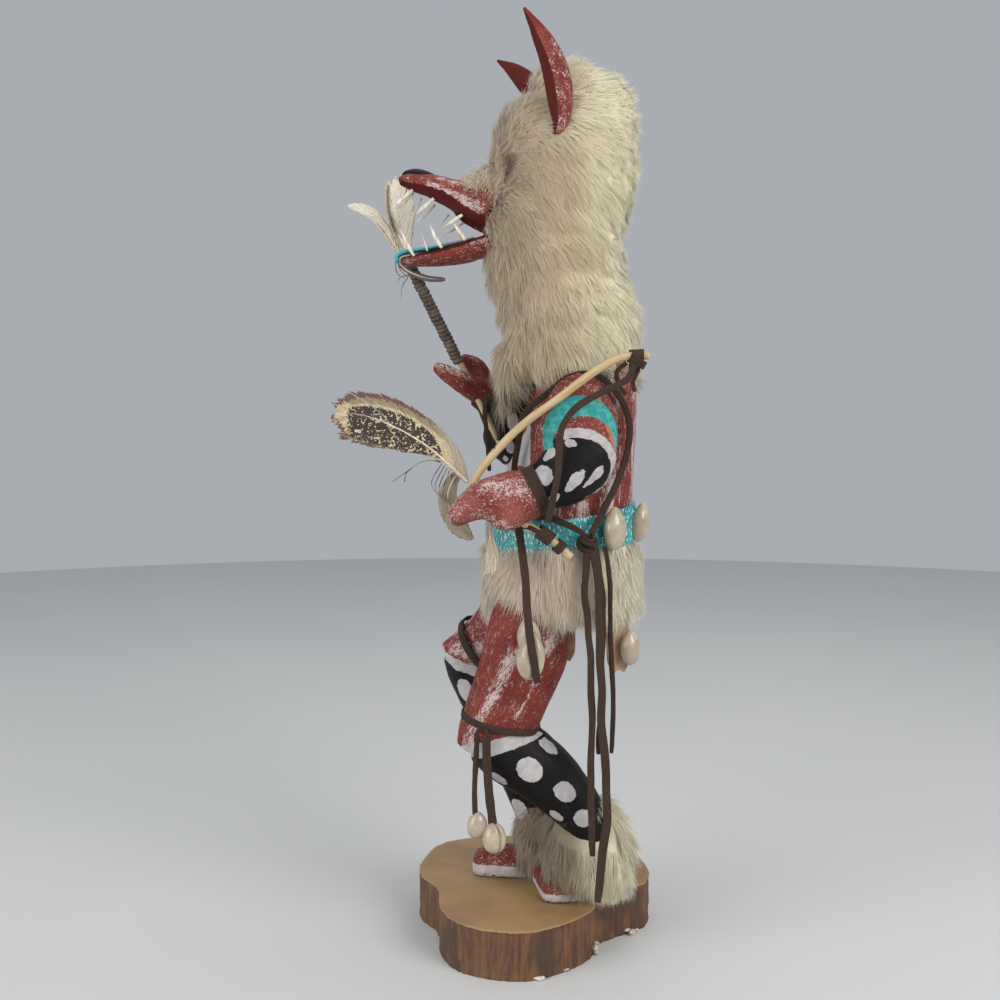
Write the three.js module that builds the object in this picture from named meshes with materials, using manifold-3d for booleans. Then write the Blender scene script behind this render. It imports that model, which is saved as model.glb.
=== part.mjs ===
// A carved and painted wolf kachina doll dancing on a sawn slice of branch.
//
// Millimetres, +Z up. The figure faces -X and its left side is -Y. The origin is on the flat
// underside of the branch slice, below the figure's middle plane.
//
// Each wooden piece is a cylinder whose rings are moved along a spine, so a limb is a short list
// of stations: [x, y, z, half depth, half width]. Depth lies in the X-Z plane, width towards Y.

import * as THREE from "three";
import { mergeVertices } from "three/addons/utils/BufferGeometryUtils.js";
import Module from "manifold-3d";

const wasm = await Module();
wasm.setup();

// ---- Driving dimensions ----------------------------------------------------------------------

const GAP = 0.4; // left between two pieces that touch
const BASE_THICK = 21.5; // the branch slice
const SOLE = BASE_THICK + GAP;
const HIP_X = 13; // middle of the waist, behind the slice's origin
const BELT_THICK = 2;
const BELT_TALL = 15.5;
const LACE_HALF = 1.4; // suede laces are about 3 mm wide
const THIN_LACE_HALF = 1;
const STICK_HALF = 1.5; // the rattle staff
const WRAP_HALF = 3; // the cord wound on the staff
const BOW_HALF = 1.7;

// ---- Materials -------------------------------------------------------------------------------

const paint = (color, roughness) => new THREE.MeshStandardMaterial({ color, roughness, metalness: 0 });

const MATERIALS = {
  branch: paint(0xc9a26c, 0.75),
  red_paint: paint(0x8a3a2a, 0.7),
  ear_paint: paint(0x7c2f25, 0.7),
  tongue_paint: paint(0x2a9c9a, 0.5),
  fur: paint(0xd8cdb4, 0.95),
  bow_wood: paint(0xcfa869, 0.6),
  suede: paint(0x4a3a33, 0.9),
  tan_suede: paint(0xb98f68, 0.9),
  staff_cord: paint(0x57524a, 0.85),
  belt_strap: paint(0x1f9a98, 0.6),
  shell: paint(0xe9e0d0, 0.3),
  plume: paint(0xcdbb9c, 0.8),
  barred_feather: paint(0x8b6f50, 0.8),
};

// ---- Tools for shaping -----------------------------------------------------------------------

// A smooth curve through points of three numbers.
const curveThrough = (points, closed = false) =>
  new THREE.CatmullRomCurve3(
    points.map(([x, y, z]) => new THREE.Vector3(x, y, z)),
    closed,
    "catmullrom",
    0.5,
  );

// A carved piece: the rings of a cylinder set square to a spine, each with its own two half sizes.
function carved(stations, { sides = 12, steps = 1, grow = 0 } = {}) {
  const spine = curveThrough(stations);
  const sizes = curveThrough(stations.map(([, , , deep, wide]) => [deep, wide, 0]));
  const shape = new THREE.CylinderGeometry(1, 1, 1, sides, steps * (stations.length - 1));
  const position = shape.getAttribute("position");
  for (let i = 0; i < position.count; i += 1) {
    const along = Math.min(Math.max(position.getY(i) + 0.5, 0), 1);
    const centre = spine.getPoint(along);
    const size = sizes.getPoint(along);
    const tangent = spine.getTangent(along);
    const wide = new THREE.Vector3(0, 1, 0).projectOnPlane(tangent).normalize();
    const deep = new THREE.Vector3().crossVectors(tangent, wide);
    const inside = position.getX(i) === 0 && position.getZ(i) === 0;
    const swell = inside ? 0 : grow;
    centre.addScaledVector(deep, position.getX(i) * (size.x + swell));
    centre.addScaledVector(wide, position.getZ(i) * (size.y + swell));
    position.setXYZ(i, centre.x, centre.y, centre.z);
  }
  return shape;
}

// A lace or cord: a round section swept along a route.
function lace(route, half, steps) {
  const ring = new THREE.Shape().absarc(0, 0, half, 0, Math.PI * 2, false);
  const path = curveThrough(route);
  const sweep = { steps, extrudePath: path, curveSegments: 4, bevelEnabled: false };
  return new THREE.ExtrudeGeometry(ring, sweep);
}

function solidOf(geometry) {
  const bare = geometry.clone();
  for (const name of ["normal", "uv"]) bare.deleteAttribute(name);
  const merged = mergeVertices(bare, 1e-3);
  return new wasm.Manifold(
    new wasm.Mesh({
      numProp: 3,
      vertProperties: merged.getAttribute("position").array,
      triVerts: new Uint32Array(merged.index.array),
    }),
  );
}

function geometryOf(solid) {
  const { vertProperties, triVerts } = solid.getMesh();
  const geometry = new THREE.BufferGeometry();
  geometry.setAttribute("position", new THREE.BufferAttribute(new Float32Array(vertProperties), 3));
  geometry.setIndex(new THREE.BufferAttribute(new Uint32Array(triVerts), 1));
  geometry.computeVertexNormals();
  return geometry;
}

const joined = (...shapes) => geometryOf(shapes.map(solidOf).reduce((whole, next) => whole.add(next)));

// What is left of a shape when the others are cut out of it. Crumbs that a cut leaves are dropped.
function cutBy(shape, ...cutters) {
  const left = cutters.map(solidOf).reduce((whole, next) => whole.subtract(next), solidOf(shape));
  const bodies = left.decompose().sort((a, b) => b.volume() - a.volume());
  return geometryOf(bodies[0]);
}

const doll = new THREE.Group();

function piece(name, geometry, material) {
  const mesh = new THREE.Mesh(geometry, MATERIALS[material]);
  mesh.name = name;
  doll.add(mesh);
  return mesh;
}

// ---- The branch slice ------------------------------------------------------------------------

// Three lobes of a branch fork, with a notch between the front lobe and each of the others.
const BASE_OUTLINE = [
  [-19, -54.5],
  [-33, -46],
  [-40, -31],
  [-41.5, -14],
  [-44.5, -4.5],
  [-51, 7],
  [-51.5, 24],
  [-42, 50],
  [-14, 60],
  [22, 58],
  [46, 42],
  [55, 20],
  [52.5, -1],
  [38, -13],
  [29, -21],
  [25.5, -33],
  [15, -46],
  [-2, -56],
];

function baseSlice() {
  const rim = curveThrough(BASE_OUTLINE.map(([x, y]) => [x, y, 0]), true);
  const shape = new THREE.Shape(rim.getPoints(72).slice(0, -1));
  return new THREE.ExtrudeGeometry(shape, { depth: BASE_THICK, bevelEnabled: false });
}

// ---- Torso and legs --------------------------------------------------------------------------

const torso = (grow = 0) =>
  carved(
    [
      [HIP_X, 0, 150, 29, 27],
      [HIP_X, 0, 168, 32, 29],
      [HIP_X, 0, 186, 32.3, 29],
      [17, 0, 206, 29.5, 26.5],
      [21, 0, 226, 26, 25.5],
      [23, 0, 246, 24.5, 25.5],
      [23, 0, 262, 22, 22],
    ],
    { sides: 24, grow },
  );

const THIGH_LEFT = [
  [2, -15, 164, 13, 11],
  [-0.5, -17, 150, 17, 13.5],
  [-2, -18.5, 138, 19.2, 15],
  [-6, -19, 124, 18.5, 15],
  [-13, -20, 106, 17, 14.5],
  [-17.5, -20, 92, 16.5, 14],
];
const SHIN_LEFT = [
  [-20, -20, 96, 13.5, 13],
  [-11, -20, 89.5, 15.5, 14.5],
  [4, -20, 79, 14.5, 14],
  [18, -20, 65, 11.8, 12],
  [26, -19.5, 52, 9.2, 10],
  [28.5, -19, 40, 8, 8.5],
  [28.5, -19, 27, 7.5, 8],
];
const THIGH_RIGHT = [
  [4, 16, 158, 19, 13],
  [-6, 17, 144, 17.5, 14],
  [-15, 18, 133.5, 15.5, 14],
  [-27, 18, 124, 14, 13],
];
const SHIN_RIGHT = [
  [-30, 18, 127.5, 12.5, 12],
  [-26, 18, 118, 13.8, 13],
  [-19.5, 17.5, 103, 13.2, 12.5],
  [-8, 16, 76, 11.2, 11],
  [0, 14.5, 54, 9, 9],
  [3.5, 13.5, 40, 8, 8.5],
  [4, 13.5, 27, 7.5, 8],
];
const FOOT_LENGTH = 40;
const FOOT_RISE = 9.5;

// A moccasin: blunt round toe at -X, flat sole on the slice.
function foot(toeX, y, grow) {
  const middle = SOLE + FOOT_RISE / 3;
  return carved(
    [
      [toeX + FOOT_LENGTH, y, middle, FOOT_RISE - 1, 7],
      [toeX + FOOT_LENGTH * 0.8, y, middle, FOOT_RISE, 9],
      [toeX + FOOT_LENGTH * 0.4, y, middle, FOOT_RISE, 10],
      [toeX + FOOT_LENGTH * 0.1, y, middle, FOOT_RISE - 2, 9],
      [toeX, y, middle, FOOT_RISE - 4, 6.5],
    ],
    { sides: 16, grow },
  );
}

// A slab that trims everything below a height.
function floorSlab(top) {
  const slab = new THREE.BoxGeometry(200, 200, 40);
  return slab.translate(0, 0, top - 20);
}

function leg(thigh, shin, toeX, footY, grow = 0) {
  const whole = joined(carved(thigh, { grow }), carved(shin, { grow }), foot(toeX, footY, grow));
  return cutBy(whole, floorSlab(SOLE));
}

const leftLeg = (grow = 0) => leg(THIGH_LEFT, SHIN_LEFT, -3, -19, grow);
const rightLeg = (grow = 0) => leg(THIGH_RIGHT, SHIN_RIGHT, -27, 13.5, grow);

// A lace tied round a limb: a short sleeve about the limb's own stations.
function tieRing(middle, direction, deep, wide, halfTall, core) {
  const along = new THREE.Vector3(...direction).normalize().multiplyScalar(halfTall);
  const reach = along.toArray();
  const end = (sign) => middle.map((value, axis) => value + sign * reach[axis]);
  const sleeve = carved([[...end(-1), deep, wide], [...end(1), deep, wide]], { sides: 18, steps: 1 });
  return cutBy(sleeve, core);
}

// ---- Arms ------------------------------------------------------------------------------------

const ARM_LEFT = [
  [21, -33, 252, 5, 6],
  [23, -35, 247, 11, 9],
  [24, -38, 236, 14, 11],
  [24.5, -40, 224, 14.5, 12],
  [20, -41, 218, 14.5, 12],
  [12, -41.5, 212, 13, 11.5],
  [2, -42, 206.5, 9.5, 9.5],
];
const HAND_LEFT = [
  [3, -42, 206, 8.5, 8.5],
  [-3, -42.5, 203.5, 11, 8.5],
  [-11, -43, 201.5, 13, 8],
  [-19, -43, 199, 10.5, 7],
  [-28, -43, 196, 7.5, 6],
  [-35, -43, 193.5, 5, 4.5],
];
const ARM_RIGHT = [
  [25, 30, 254, 7, 7],
  [22, 33, 247, 13, 10],
  [11, 34, 238, 16, 12],
  [-2, 31, 234.5, 20, 13],
  [-12, 26.5, 241, 14, 11],
  [-23, 22.5, 250, 7, 8],
];
// The back of the right hand, and the finger that closes over the staff.
const HAND_RIGHT = [
  [-21, 23, 249, 7, 7.5],
  [-28, 21.5, 253, 6.5, 7],
  [-38, 20, 258, 5, 6],
  [-46, 19, 262, 3, 4],
];
const THUMB_RIGHT = [
  [-22, 24, 254, 4.5, 4.5],
  [-27, 23, 261, 4.5, 4],
  [-34, 21.5, 267, 3, 3.5],
];

// ---- Bow, staff and their cords --------------------------------------------------------------

const BOW_ROUTE = [
  [47, -46, 262],
  [38, -47, 262],
  [26, -48.5, 256.5],
  [12, -49.5, 247],
  [-6, -49, 233],
  [-20, -47, 218.5],
  [-24, -44, 207],
  [-18, -43, 199],
  [-5, -44, 193],
  [6, -45, 185.5],
  [15.5, -45, 177.5],
];
const BOW_STRING_ROUTE = [
  [41, -51, 258],
  [37, -53, 251.5],
  [26, -55, 246],
  [17, -56, 240.5],
  [11.5, -56, 233],
  [10, -56, 226],
  [9.5, -56, 214],
  [7.5, -54.5, 203],
  [5.5, -51, 193],
];
const STAFF_TOP = [-59, 14, 312.5];
const STAFF_TAIL = [-15.5, 16, 226.5];

const alongStaff = (share) => STAFF_TOP.map((top, i) => top + (STAFF_TAIL[i] - top) * share);
const stick = (from, to, half) =>
  carved([[...alongStaff(from), half, half], [...alongStaff(to), half, half]], { sides: 12, steps: 1 });
const rod = (route, half, steps) => carved(route.map((at) => [...at, half, half]), { sides: 8, steps });
const bow = (grow = 0) => rod(BOW_ROUTE, BOW_HALF + grow, 2);

const leftArm = (grow = 0) =>
  cutBy(joined(carved(ARM_LEFT, { grow, sides: 16 }), carved(HAND_LEFT, { grow })), torso(GAP), bow(GAP));
const rightArm = (grow = 0) =>
  cutBy(
    joined(
      carved(ARM_RIGHT, { grow, sides: 16 }),
      carved(HAND_RIGHT, { grow }),
      carved(THUMB_RIGHT, { grow }),
    ),
    torso(GAP),
    stick(-0.02, 1.02, STICK_HALF + GAP),
  );

// ---- Head, ears and hood ---------------------------------------------------------------------

const CRANIUM = [
  [18, 0, 263, 17, 15],
  [18, 0, 282, 18, 16],
  [14, 0, 306, 24, 21],
  [12, 0, 336, 27, 24],
  [13, 0, 360, 24, 22],
  [14, 0, 378, 13, 13],
  [14, 0, 384, 4, 4],
];
const UPPER_JAW = [
  [4, 0, 335, 15, 15],
  [-22, 0, 333.5, 10, 12.5],
  [-33, 0, 336, 7, 10.5],
  [-45, 0, 340.5, 5.2, 8.5],
  [-55, 0, 342.5, 3.4, 6],
  [-59.5, 0, 342, 1.6, 3],
];
const LOWER_JAW = [
  [4, 0, 318, 8, 14],
  [-20, 0, 314.5, 5.5, 12],
  [-31, 0, 311, 4.8, 10],
  [-45, 0, 308.3, 3.2, 7.5],
  [-55, 0, 307.2, 2, 5],
  [-59, 0, 307, 1.2, 3],
];
const TOOTH_HALF = 1.2;
const TOOTH_LENGTH = 9;
// Each tooth: how far along the jaw it stands (x), its side of the jaw, and its root's height.
const UPPER_TEETH = [
  [-54, 4, 342],
  [-46, 5.5, 340],
  [-36, 8, 336],
];
const LOWER_TEETH = [
  [-53, 4.2, 307.5],
  [-42, 5.5, 309],
  [-31, 8, 311],
];

const tooth = (x, y, z, lean, rise) =>
  carved([[x, y, z, TOOTH_HALF, TOOTH_HALF], [x + lean, y, z + rise, 0.35, 0.35]], { sides: 6, steps: 1 });

function teeth() {
  const row = [];
  for (const side of [-1, 1]) {
    for (const [x, y, z] of UPPER_TEETH) row.push(tooth(x, side * y, z, -5, -TOOTH_LENGTH));
    for (const [x, y, z] of LOWER_TEETH) row.push(tooth(x, side * y, z, -4, TOOTH_LENGTH));
  }
  return row;
}

const jaws = (grow = 0) => joined(carved(UPPER_JAW, { grow }), carved(LOWER_JAW, { grow }));
const skull = (grow = 0) => joined(carved(CRANIUM, { grow, sides: 16 }), jaws(grow));

const TONGUE = [
  [-61, 0, 310.5, 1.4, 2.2],
  [-55, 0, 312.4, 1.2, 2.6],
  [-45, 0, 314.2, 1.2, 4.5],
  [-35, 0, 317.6, 1.2, 4.5],
  [-27, 0, 321.4, 1, 4],
];

const EAR_LEFT = [
  [9.5, -29.5, 356.5, 1.6, 1.5],
  [11, -30, 364, 4.6, 3],
  [10, -30.5, 376, 6.3, 3.4],
  [6.5, -30.5, 388.5, 5.6, 3],
  [1, -30, 400, 3.4, 2.2],
  [-4.4, -29.5, 409, 0.6, 0.6],
];
const EAR_RIGHT = [
  [13, 29.5, 362, 1.6, 1.5],
  [12.5, 30, 369, 4.6, 3],
  [8.5, 30.5, 379.5, 6.3, 3.4],
  [1, 30.5, 389.5, 5.6, 3],
  [-7.5, 30, 397.5, 3.4, 2.2],
  [-15.5, 29.5, 403, 0.6, 0.6],
];

const HOOD = [
  [17.5, 0, 257, 33, 30],
  [18, 0, 275, 34.5, 33],
  [12.5, 0, 299, 34.5, 33.5],
  [9.5, 0, 322, 35.5, 33.5],
  [11.5, 0, 346, 38, 34],
  [15, 0, 362, 35, 32.5],
  [16.5, 0, 377, 30, 28],
  [15.5, 0, 389, 19, 19],
  [16, 0, 395, 7, 8],
];
// The longer fur that hangs in front of the chest.
const BEARD = [
  [-2, -8, 272, 13, 16],
  [-6, -9, 260, 12, 14],
  [-9, -9, 250, 8, 10],
  [-11, -9, 243, 2, 3],
];

function furHood() {
  const form = joined(carved(HOOD, { sides: 24 }), carved(BEARD));
  const ears = [EAR_LEFT, EAR_RIGHT].map((stations) => carved(stations, { grow: GAP }));
  return cutBy(form, skull(GAP), torso(GAP), ...ears, leftArm(GAP), rightArm(GAP), bow(GAP));
}

// ---- Kilt, belt and ankle furs ---------------------------------------------------------------

const WAIST_LEAN = 0.06; // the belt rises towards the back
const beltHeight = (share) => 174.5 + BELT_TALL * share;

// A form about the waist whose rings are square to the belt's leaning axis.
function waistForm(levels) {
  return carved(
    levels.map(([z, deep, wide]) => [HIP_X - (z - 182) * WAIST_LEAN, 0, z, deep, wide]),
    { sides: 24 },
  );
}

// A suede tab that hangs out of the kilt's lower edge: place, turn about Z, width and height.
const REAR_FLAP = [[38.5, -16, 143], 0.5, 11, 22];
const SIDE_FLAP = [[19.3, 9, 143], 0, 9, 20];
const FLAP_THICK = 2.2;

function flap([x, y, top], turn, wide, tall, grow = 0) {
  const tab = new THREE.BoxGeometry(wide + 2 * grow, FLAP_THICK + 2 * grow, tall + 2 * grow);
  return tab.rotateZ(turn).translate(x, y, top - tall / 2);
}

const belt = () =>
  cutBy(
    waistForm([
      [beltHeight(0), 32.8 + BELT_THICK, 29.5 + BELT_THICK],
      [beltHeight(0.5), 32.8 + BELT_THICK, 29.5 + BELT_THICK],
      [beltHeight(1), 32.3 + BELT_THICK, 29.5 + BELT_THICK],
    ]),
    torso(GAP),
  );

const kilt = () =>
  cutBy(
    waistForm([
      [139, 34, 33],
      [145, 38, 37],
      [158, 38.5, 37.5],
      [168, 37.5, 36],
      [beltHeight(0) - GAP, 36, 33],
    ]),
    torso(GAP),
    leftLeg(GAP),
    rightLeg(GAP),
    flap(...REAR_FLAP, GAP),
    flap(...SIDE_FLAP, GAP),
  );

const FUR_LOW = SOLE + GAP;
const ANKLE_FUR_LEFT = [
  [23, -20, 16, 20, 15],
  [24, -20, 29, 25, 18],
  [24, -20, 41, 26, 18.5],
  [22.5, -20, 53, 21, 15.5],
  [18, -20, 63, 12, 11.5],
];
const ANKLE_FUR_RIGHT = [
  [6, 15, 16, 14, 13],
  [6, 15, 28, 17, 14.5],
  [4, 15, 38, 16, 14],
  [1, 15, 48, 12, 12],
];

const ankleFur = (stations, grow = 0) => carved(stations, { sides: 18, grow });

// ---- Shells, feathers, laces -----------------------------------------------------------------

// A cowrie: an egg flattened on the side that lies against the strap. It faces the way of outward.
function cowrie(name, [x, y, z], length, facing, lean = 0) {
  const shell = new THREE.SphereGeometry(1, 10, 8);
  shell.scale(length * 0.24, length * 0.33, length / 2);
  const mesh = piece(name, shell, "shell");
  mesh.rotation.set(0, lean, facing, "ZYX");
  mesh.position.set(x, y, z);
}

const feather = (stations) => carved(stations, { sides: 8, steps: 2 });

const HAND_FEATHER = [
  [-28, -33, 206, 1.2, 0.8],
  [-33.5, -33, 216.5, 5, 0.9],
  [-40, -33, 224, 7.6, 1],
  [-52, -33, 230.5, 8.6, 1],
  [-68, -33, 235, 9.6, 1],
  [-81, -33, 238.5, 8.6, 1],
  [-88, -33, 240, 3, 0.7],
];
const DROOPING_PLUME = [
  [-27, -30, 208, 1.2, 0.8],
  [-33.5, -30, 213, 5.5, 0.9],
  [-38.5, -30, 208, 6, 0.9],
  [-38, -30, 199, 6, 0.9],
  [-33, -30, 190, 4, 0.9],
  [-26.5, -30, 184, 1, 0.7],
];
const SHORT_PLUME = [
  [-19, -35, 190.2, 2.6, 0.8],
  [-18, -35, 181, 3.8, 0.9],
  [-16.5, -35, 171, 1, 0.7],
];
const STAFF_FEATHER_WIDE = [
  [-56.5, 19, 312, 1.4, 0.8],
  [-59, 20, 322, 6.5, 0.9],
  [-61, 20.5, 333, 8, 0.9],
  [-63, 21, 344, 6.5, 0.9],
  [-66, 21, 351, 1.5, 0.7],
];
const STAFF_FEATHER_CURLED = [
  [-58.5, 16.4, 314, 1, 0.8],
  [-61.5, 16.6, 321, 2.6, 0.8],
  [-67.5, 18, 328.5, 3, 0.8],
  [-77, 18, 333.8, 2.4, 0.8],
  [-87.5, 18, 336, 0.7, 0.6],
];
const STAFF_QUILL = [
  [-62.5, 8.5, 309, 0.7, 0.7],
  [-56.5, 8.5, 303.5, 1.2, 1],
  [-48.5, 8.5, 300.5, 1.2, 1],
  [-41, 8.5, 300, 0.6, 0.6],
];

const HIP_KNOT = [23, -36.5, 184];
const BANDOLIER_ROUTE = [
  [26, -34.5, 189],
  [31, -30.5, 199],
  [37, -27, 210],
  [41, -24.5, 222],
  [42, -23, 234],
  [37, -24.5, 246],
  [27, -27.8, 254.5],
  [16, -28.3, 254],
  [6, -26, 247],
  [-3.5, -19.5, 238],
  [-6.5, -17.5, 226],
  [-8, -22, 210],
  [-3, -28.5, 199],
  [8, -33.5, 192.5],
  [18.5, -35, 188.5],
];
const TAIL_ROUTES = [
  [
    [22, -37.8, 178.5],
    [21.8, -42, 160],
    [23, -42.8, 146],
    [24.6, -43, 114],
    [24.2, -44, 80],
    [25, -44.5, 49],
  ],
  [
    [25.8, -38, 178.5],
    [27.4, -43, 160],
    [28, -43.5, 130],
    [29.4, -44, 100],
    [31.2, -45, 80],
    [30.4, -46, 62],
    [27, -47, 30],
  ],
  [
    [27.6, -35, 178.8],
    [28.4, -38.2, 168],
    [29.5, -39.4, 155],
    [29, -39.4, 130],
    [28, -39.4, 92],
  ],
  [
    [30.5, -34.4, 181],
    [32.4, -37.6, 168],
    [32.6, -38, 150],
    [34, -38.4, 115],
    [33.5, -38.4, 92],
  ],
];
const WRIST_TAIL_ROUTES = [
  [
    [-21, 12.8, 245],
    [-21.5, 9.5, 239],
    [-20.5, 9, 226],
    [-19.5, 9.5, 212],
  ],
  [
    [-17.5, 11, 244],
    [-16.5, 8, 239],
    [-15, 8, 232],
    [-14.5, 8.5, 226],
  ],
];
const KILT_LACE_ROUTE = [
  [-6, -32.6, 187],
  [-5, -37.5, 178],
  [-4, -40, 165],
  [-3, -40.5, 150],
  [-1, -40.5, 138],
  [0.5, -40, 125],
];
const KNEE_LACE_ROUTES = [
  [
    [-25, -35.6, 97],
    [-25.5, -37.5, 88],
    [-25, -38, 78],
    [-24.5, -38, 69],
  ],
  [
    [-20, -37.6, 96.5],
    [-19.5, -39, 86],
    [-18.5, -39.5, 75],
    [-17.5, -39.5, 66.5],
  ],
];

// ---- The doll --------------------------------------------------------------------------------

piece("base_slice", baseSlice(), "branch");
piece("torso", torso(), "red_paint");
piece("left_leg", cutBy(leftLeg(), torso(GAP)), "red_paint");
piece("right_leg", cutBy(rightLeg(), torso(GAP)), "red_paint");
piece("left_arm", leftArm(), "red_paint");
piece("right_arm", rightArm(), "red_paint");
piece("head", joined(skull(), ...teeth()), "red_paint");
piece("left_ear", carved(EAR_LEFT), "ear_paint");
piece("right_ear", carved(EAR_RIGHT), "ear_paint");
piece("tongue", cutBy(carved(TONGUE), jaws(GAP)), "tongue_paint");
piece("fur_hood", furHood(), "fur");
piece("belt", belt(), "belt_strap");
piece("kilt_fur", kilt(), "fur");
piece("left_ankle_fur", cutBy(ankleFur(ANKLE_FUR_LEFT), leftLeg(GAP), floorSlab(FUR_LOW)), "fur");
const RIGHT_FUR_NEIGHBOURS = [leftLeg(GAP), ankleFur(ANKLE_FUR_LEFT, GAP)];
piece(
  "right_ankle_fur",
  cutBy(ankleFur(ANKLE_FUR_RIGHT), rightLeg(GAP), floorSlab(FUR_LOW), ...RIGHT_FUR_NEIGHBOURS),
  "fur",
);
piece("bow", bow(), "bow_wood");
piece("bow_string", lace(BOW_STRING_ROUTE, LACE_HALF, 20), "suede");
piece("rattle_staff", stick(0, 1, STICK_HALF), "bow_wood");
piece("staff_wrap", cutBy(stick(0.05, 0.58, WRAP_HALF), stick(0, 1, STICK_HALF + 0.3)), "staff_cord");
piece("staff_feather_wide", feather(STAFF_FEATHER_WIDE), "plume");
piece("staff_feather_curled", feather(STAFF_FEATHER_CURLED), "plume");
piece("staff_quill", feather(STAFF_QUILL), "barred_feather");
piece("hand_feather", feather(HAND_FEATHER), "barred_feather");
piece("drooping_plume", feather(DROOPING_PLUME), "barred_feather");
piece("short_plume", feather(SHORT_PLUME), "plume");
piece("bandolier", lace(BANDOLIER_ROUTE, LACE_HALF, 36), "suede");
const knot = new THREE.SphereGeometry(1, 12, 8).scale(4.4, 3.4, 4.6);
piece("hip_knot", knot.translate(...HIP_KNOT), "suede");
TAIL_ROUTES.forEach((route, i) => {
  const half = i < 2 ? LACE_HALF : THIN_LACE_HALF;
  piece(`hip_lace_${i + 1}`, lace(route, half, 18), "suede");
});
WRIST_TAIL_ROUTES.forEach((route, i) => {
  piece(`wrist_lace_${i + 1}`, lace(route, THIN_LACE_HALF, 8), "suede");
});
piece("kilt_lace", lace(KILT_LACE_ROUTE, LACE_HALF, 12), "suede");
KNEE_LACE_ROUTES.forEach((route, i) => {
  piece(`knee_lace_${i + 1}`, lace(route, THIN_LACE_HALF, 8), "suede");
});

// Each tie: its middle, the limb's direction there, and the sleeve's half depth, width and height.
const LEFT_KNEE_TIE = [[-14.5, -20, 100.5], [-7, -1, -18], 18.8, 16.4, 1.6];
const RIGHT_KNEE_TIE = [[-20, 18, 129.5], [-12, 0, -10], 17.4, 15.4, 1.6];
const LEFT_WRIST_WRAP = [[0.5, -42, 205.3], [-10, -1, -5], 11.6, 11, 3];
const RIGHT_WRIST_WRAP = [[-20.5, 23.2, 248], [-11, -4, 9], 10, 10, 2.2];
piece("left_knee_tie", tieRing(...LEFT_KNEE_TIE, leftLeg(GAP)), "suede");
piece("right_knee_tie", tieRing(...RIGHT_KNEE_TIE, rightLeg(GAP)), "suede");
piece("left_wrist_wrap", tieRing(...LEFT_WRIST_WRAP, leftArm(GAP)), "suede");
const RIGHT_WRIST_CORE = joined(rightArm(GAP), stick(0, 1.02, STICK_HALF + 2 * GAP));
piece("right_wrist_wrap", tieRing(...RIGHT_WRIST_WRAP, RIGHT_WRIST_CORE), "suede");
piece("rear_flap", flap(...REAR_FLAP), "tan_suede");
piece("side_flap", flap(...SIDE_FLAP), "tan_suede");
cowrie("belt_cowrie_1", [36, -29, 187], 19, -0.9);
cowrie("belt_cowrie_2", [51, -10, 189], 18, -0.25, 0.15);
cowrie("belt_cowrie_3", [36, 29, 187], 19, 0.9);
cowrie("flap_cowrie", [44, -19.2, 131], 14, -1.07);
cowrie("kilt_cowrie_1", [-2.6, -45.6, 149.6], 12, -1.57);
cowrie("kilt_cowrie_2", [-1, -46.4, 135], 16, -1.57);
cowrie("knee_cowrie_1", [-24.8, -38, 62.5], 12, -1.57);
cowrie("knee_cowrie_2", [-16.4, -39.5, 59], 14, -1.57);

export default doll;
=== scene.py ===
# %% [markdown]
# # A carved doll in a wolf mask
# The real doll is carved from cottonwood root and painted, then dressed in rabbit fur, suede, shells and
# feathers, and it stands on a slice sawn from a branch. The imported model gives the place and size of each
# piece. This lesson makes each piece again at full detail, in the same frame: Z is up and the doll faces -X.

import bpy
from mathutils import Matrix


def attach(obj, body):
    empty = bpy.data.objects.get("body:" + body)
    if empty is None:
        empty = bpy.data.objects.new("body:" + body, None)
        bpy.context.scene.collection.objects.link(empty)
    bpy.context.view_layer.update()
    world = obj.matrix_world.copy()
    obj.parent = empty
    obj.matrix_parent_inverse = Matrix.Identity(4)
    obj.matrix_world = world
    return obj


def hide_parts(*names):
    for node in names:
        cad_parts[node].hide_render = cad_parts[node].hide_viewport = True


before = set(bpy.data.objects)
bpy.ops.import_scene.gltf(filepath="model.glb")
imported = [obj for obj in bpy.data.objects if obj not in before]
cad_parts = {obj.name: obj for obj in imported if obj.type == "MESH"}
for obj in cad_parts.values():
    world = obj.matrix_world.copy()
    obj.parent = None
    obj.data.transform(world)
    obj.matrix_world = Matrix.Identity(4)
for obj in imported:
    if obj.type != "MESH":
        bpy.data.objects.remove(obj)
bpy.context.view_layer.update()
print("parts in the frame:", len(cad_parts))

# %% [markdown]
# A carver thinks in millimetres and Blender in metres, so every size below is in millimetres and is
# multiplied by one constant where it enters a mesh. Chance is drawn from seeded generators, so that every
# run gives the same doll, apart from the lie of some tufts of fur.

# %% Libraries and the unit
import math

import bmesh
import bpy
import numpy as np
from mathutils import Matrix, Vector, noise

MM = 0.001
scene = bpy.context.scene
print("one millimetre is", MM, "m")

# %% [markdown]
# The camera looks at the doll's left side from half a metre away, a little above the belt, tipped down
# three degrees. A sensor of 36 mm with a lens of about 43 mm takes in the whole figure and some air.

# %% The camera
LENS = 42.73
TIP_DOWN = 3.375

camera_data = bpy.data.cameras.new("camera")
camera_data.sensor_width = 36
camera_data.lens = LENS
camera = bpy.data.objects.new("camera", camera_data)
camera.location = (-14.5 * MM, -542 * MM, 231 * MM)
camera.rotation_euler = (math.radians(90 - TIP_DOWN), 0, 0)
scene.collection.objects.link(camera)
scene.camera = camera
print("lens", LENS, "mm, at", tuple(camera.location))

# %% [markdown]
# Nearly every piece is long and bends: a leg, a lace, a bow, a feather's shaft. Each is described by a few
# stations, and a smooth curve is drawn through them. The curve is the one that passes through its points
# and leaves each one heading for the next but one, known as Catmull-Rom. The rows that come back are
# evenly spaced, and whatever else a station carries, such as its widths, is carried along.

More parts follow.
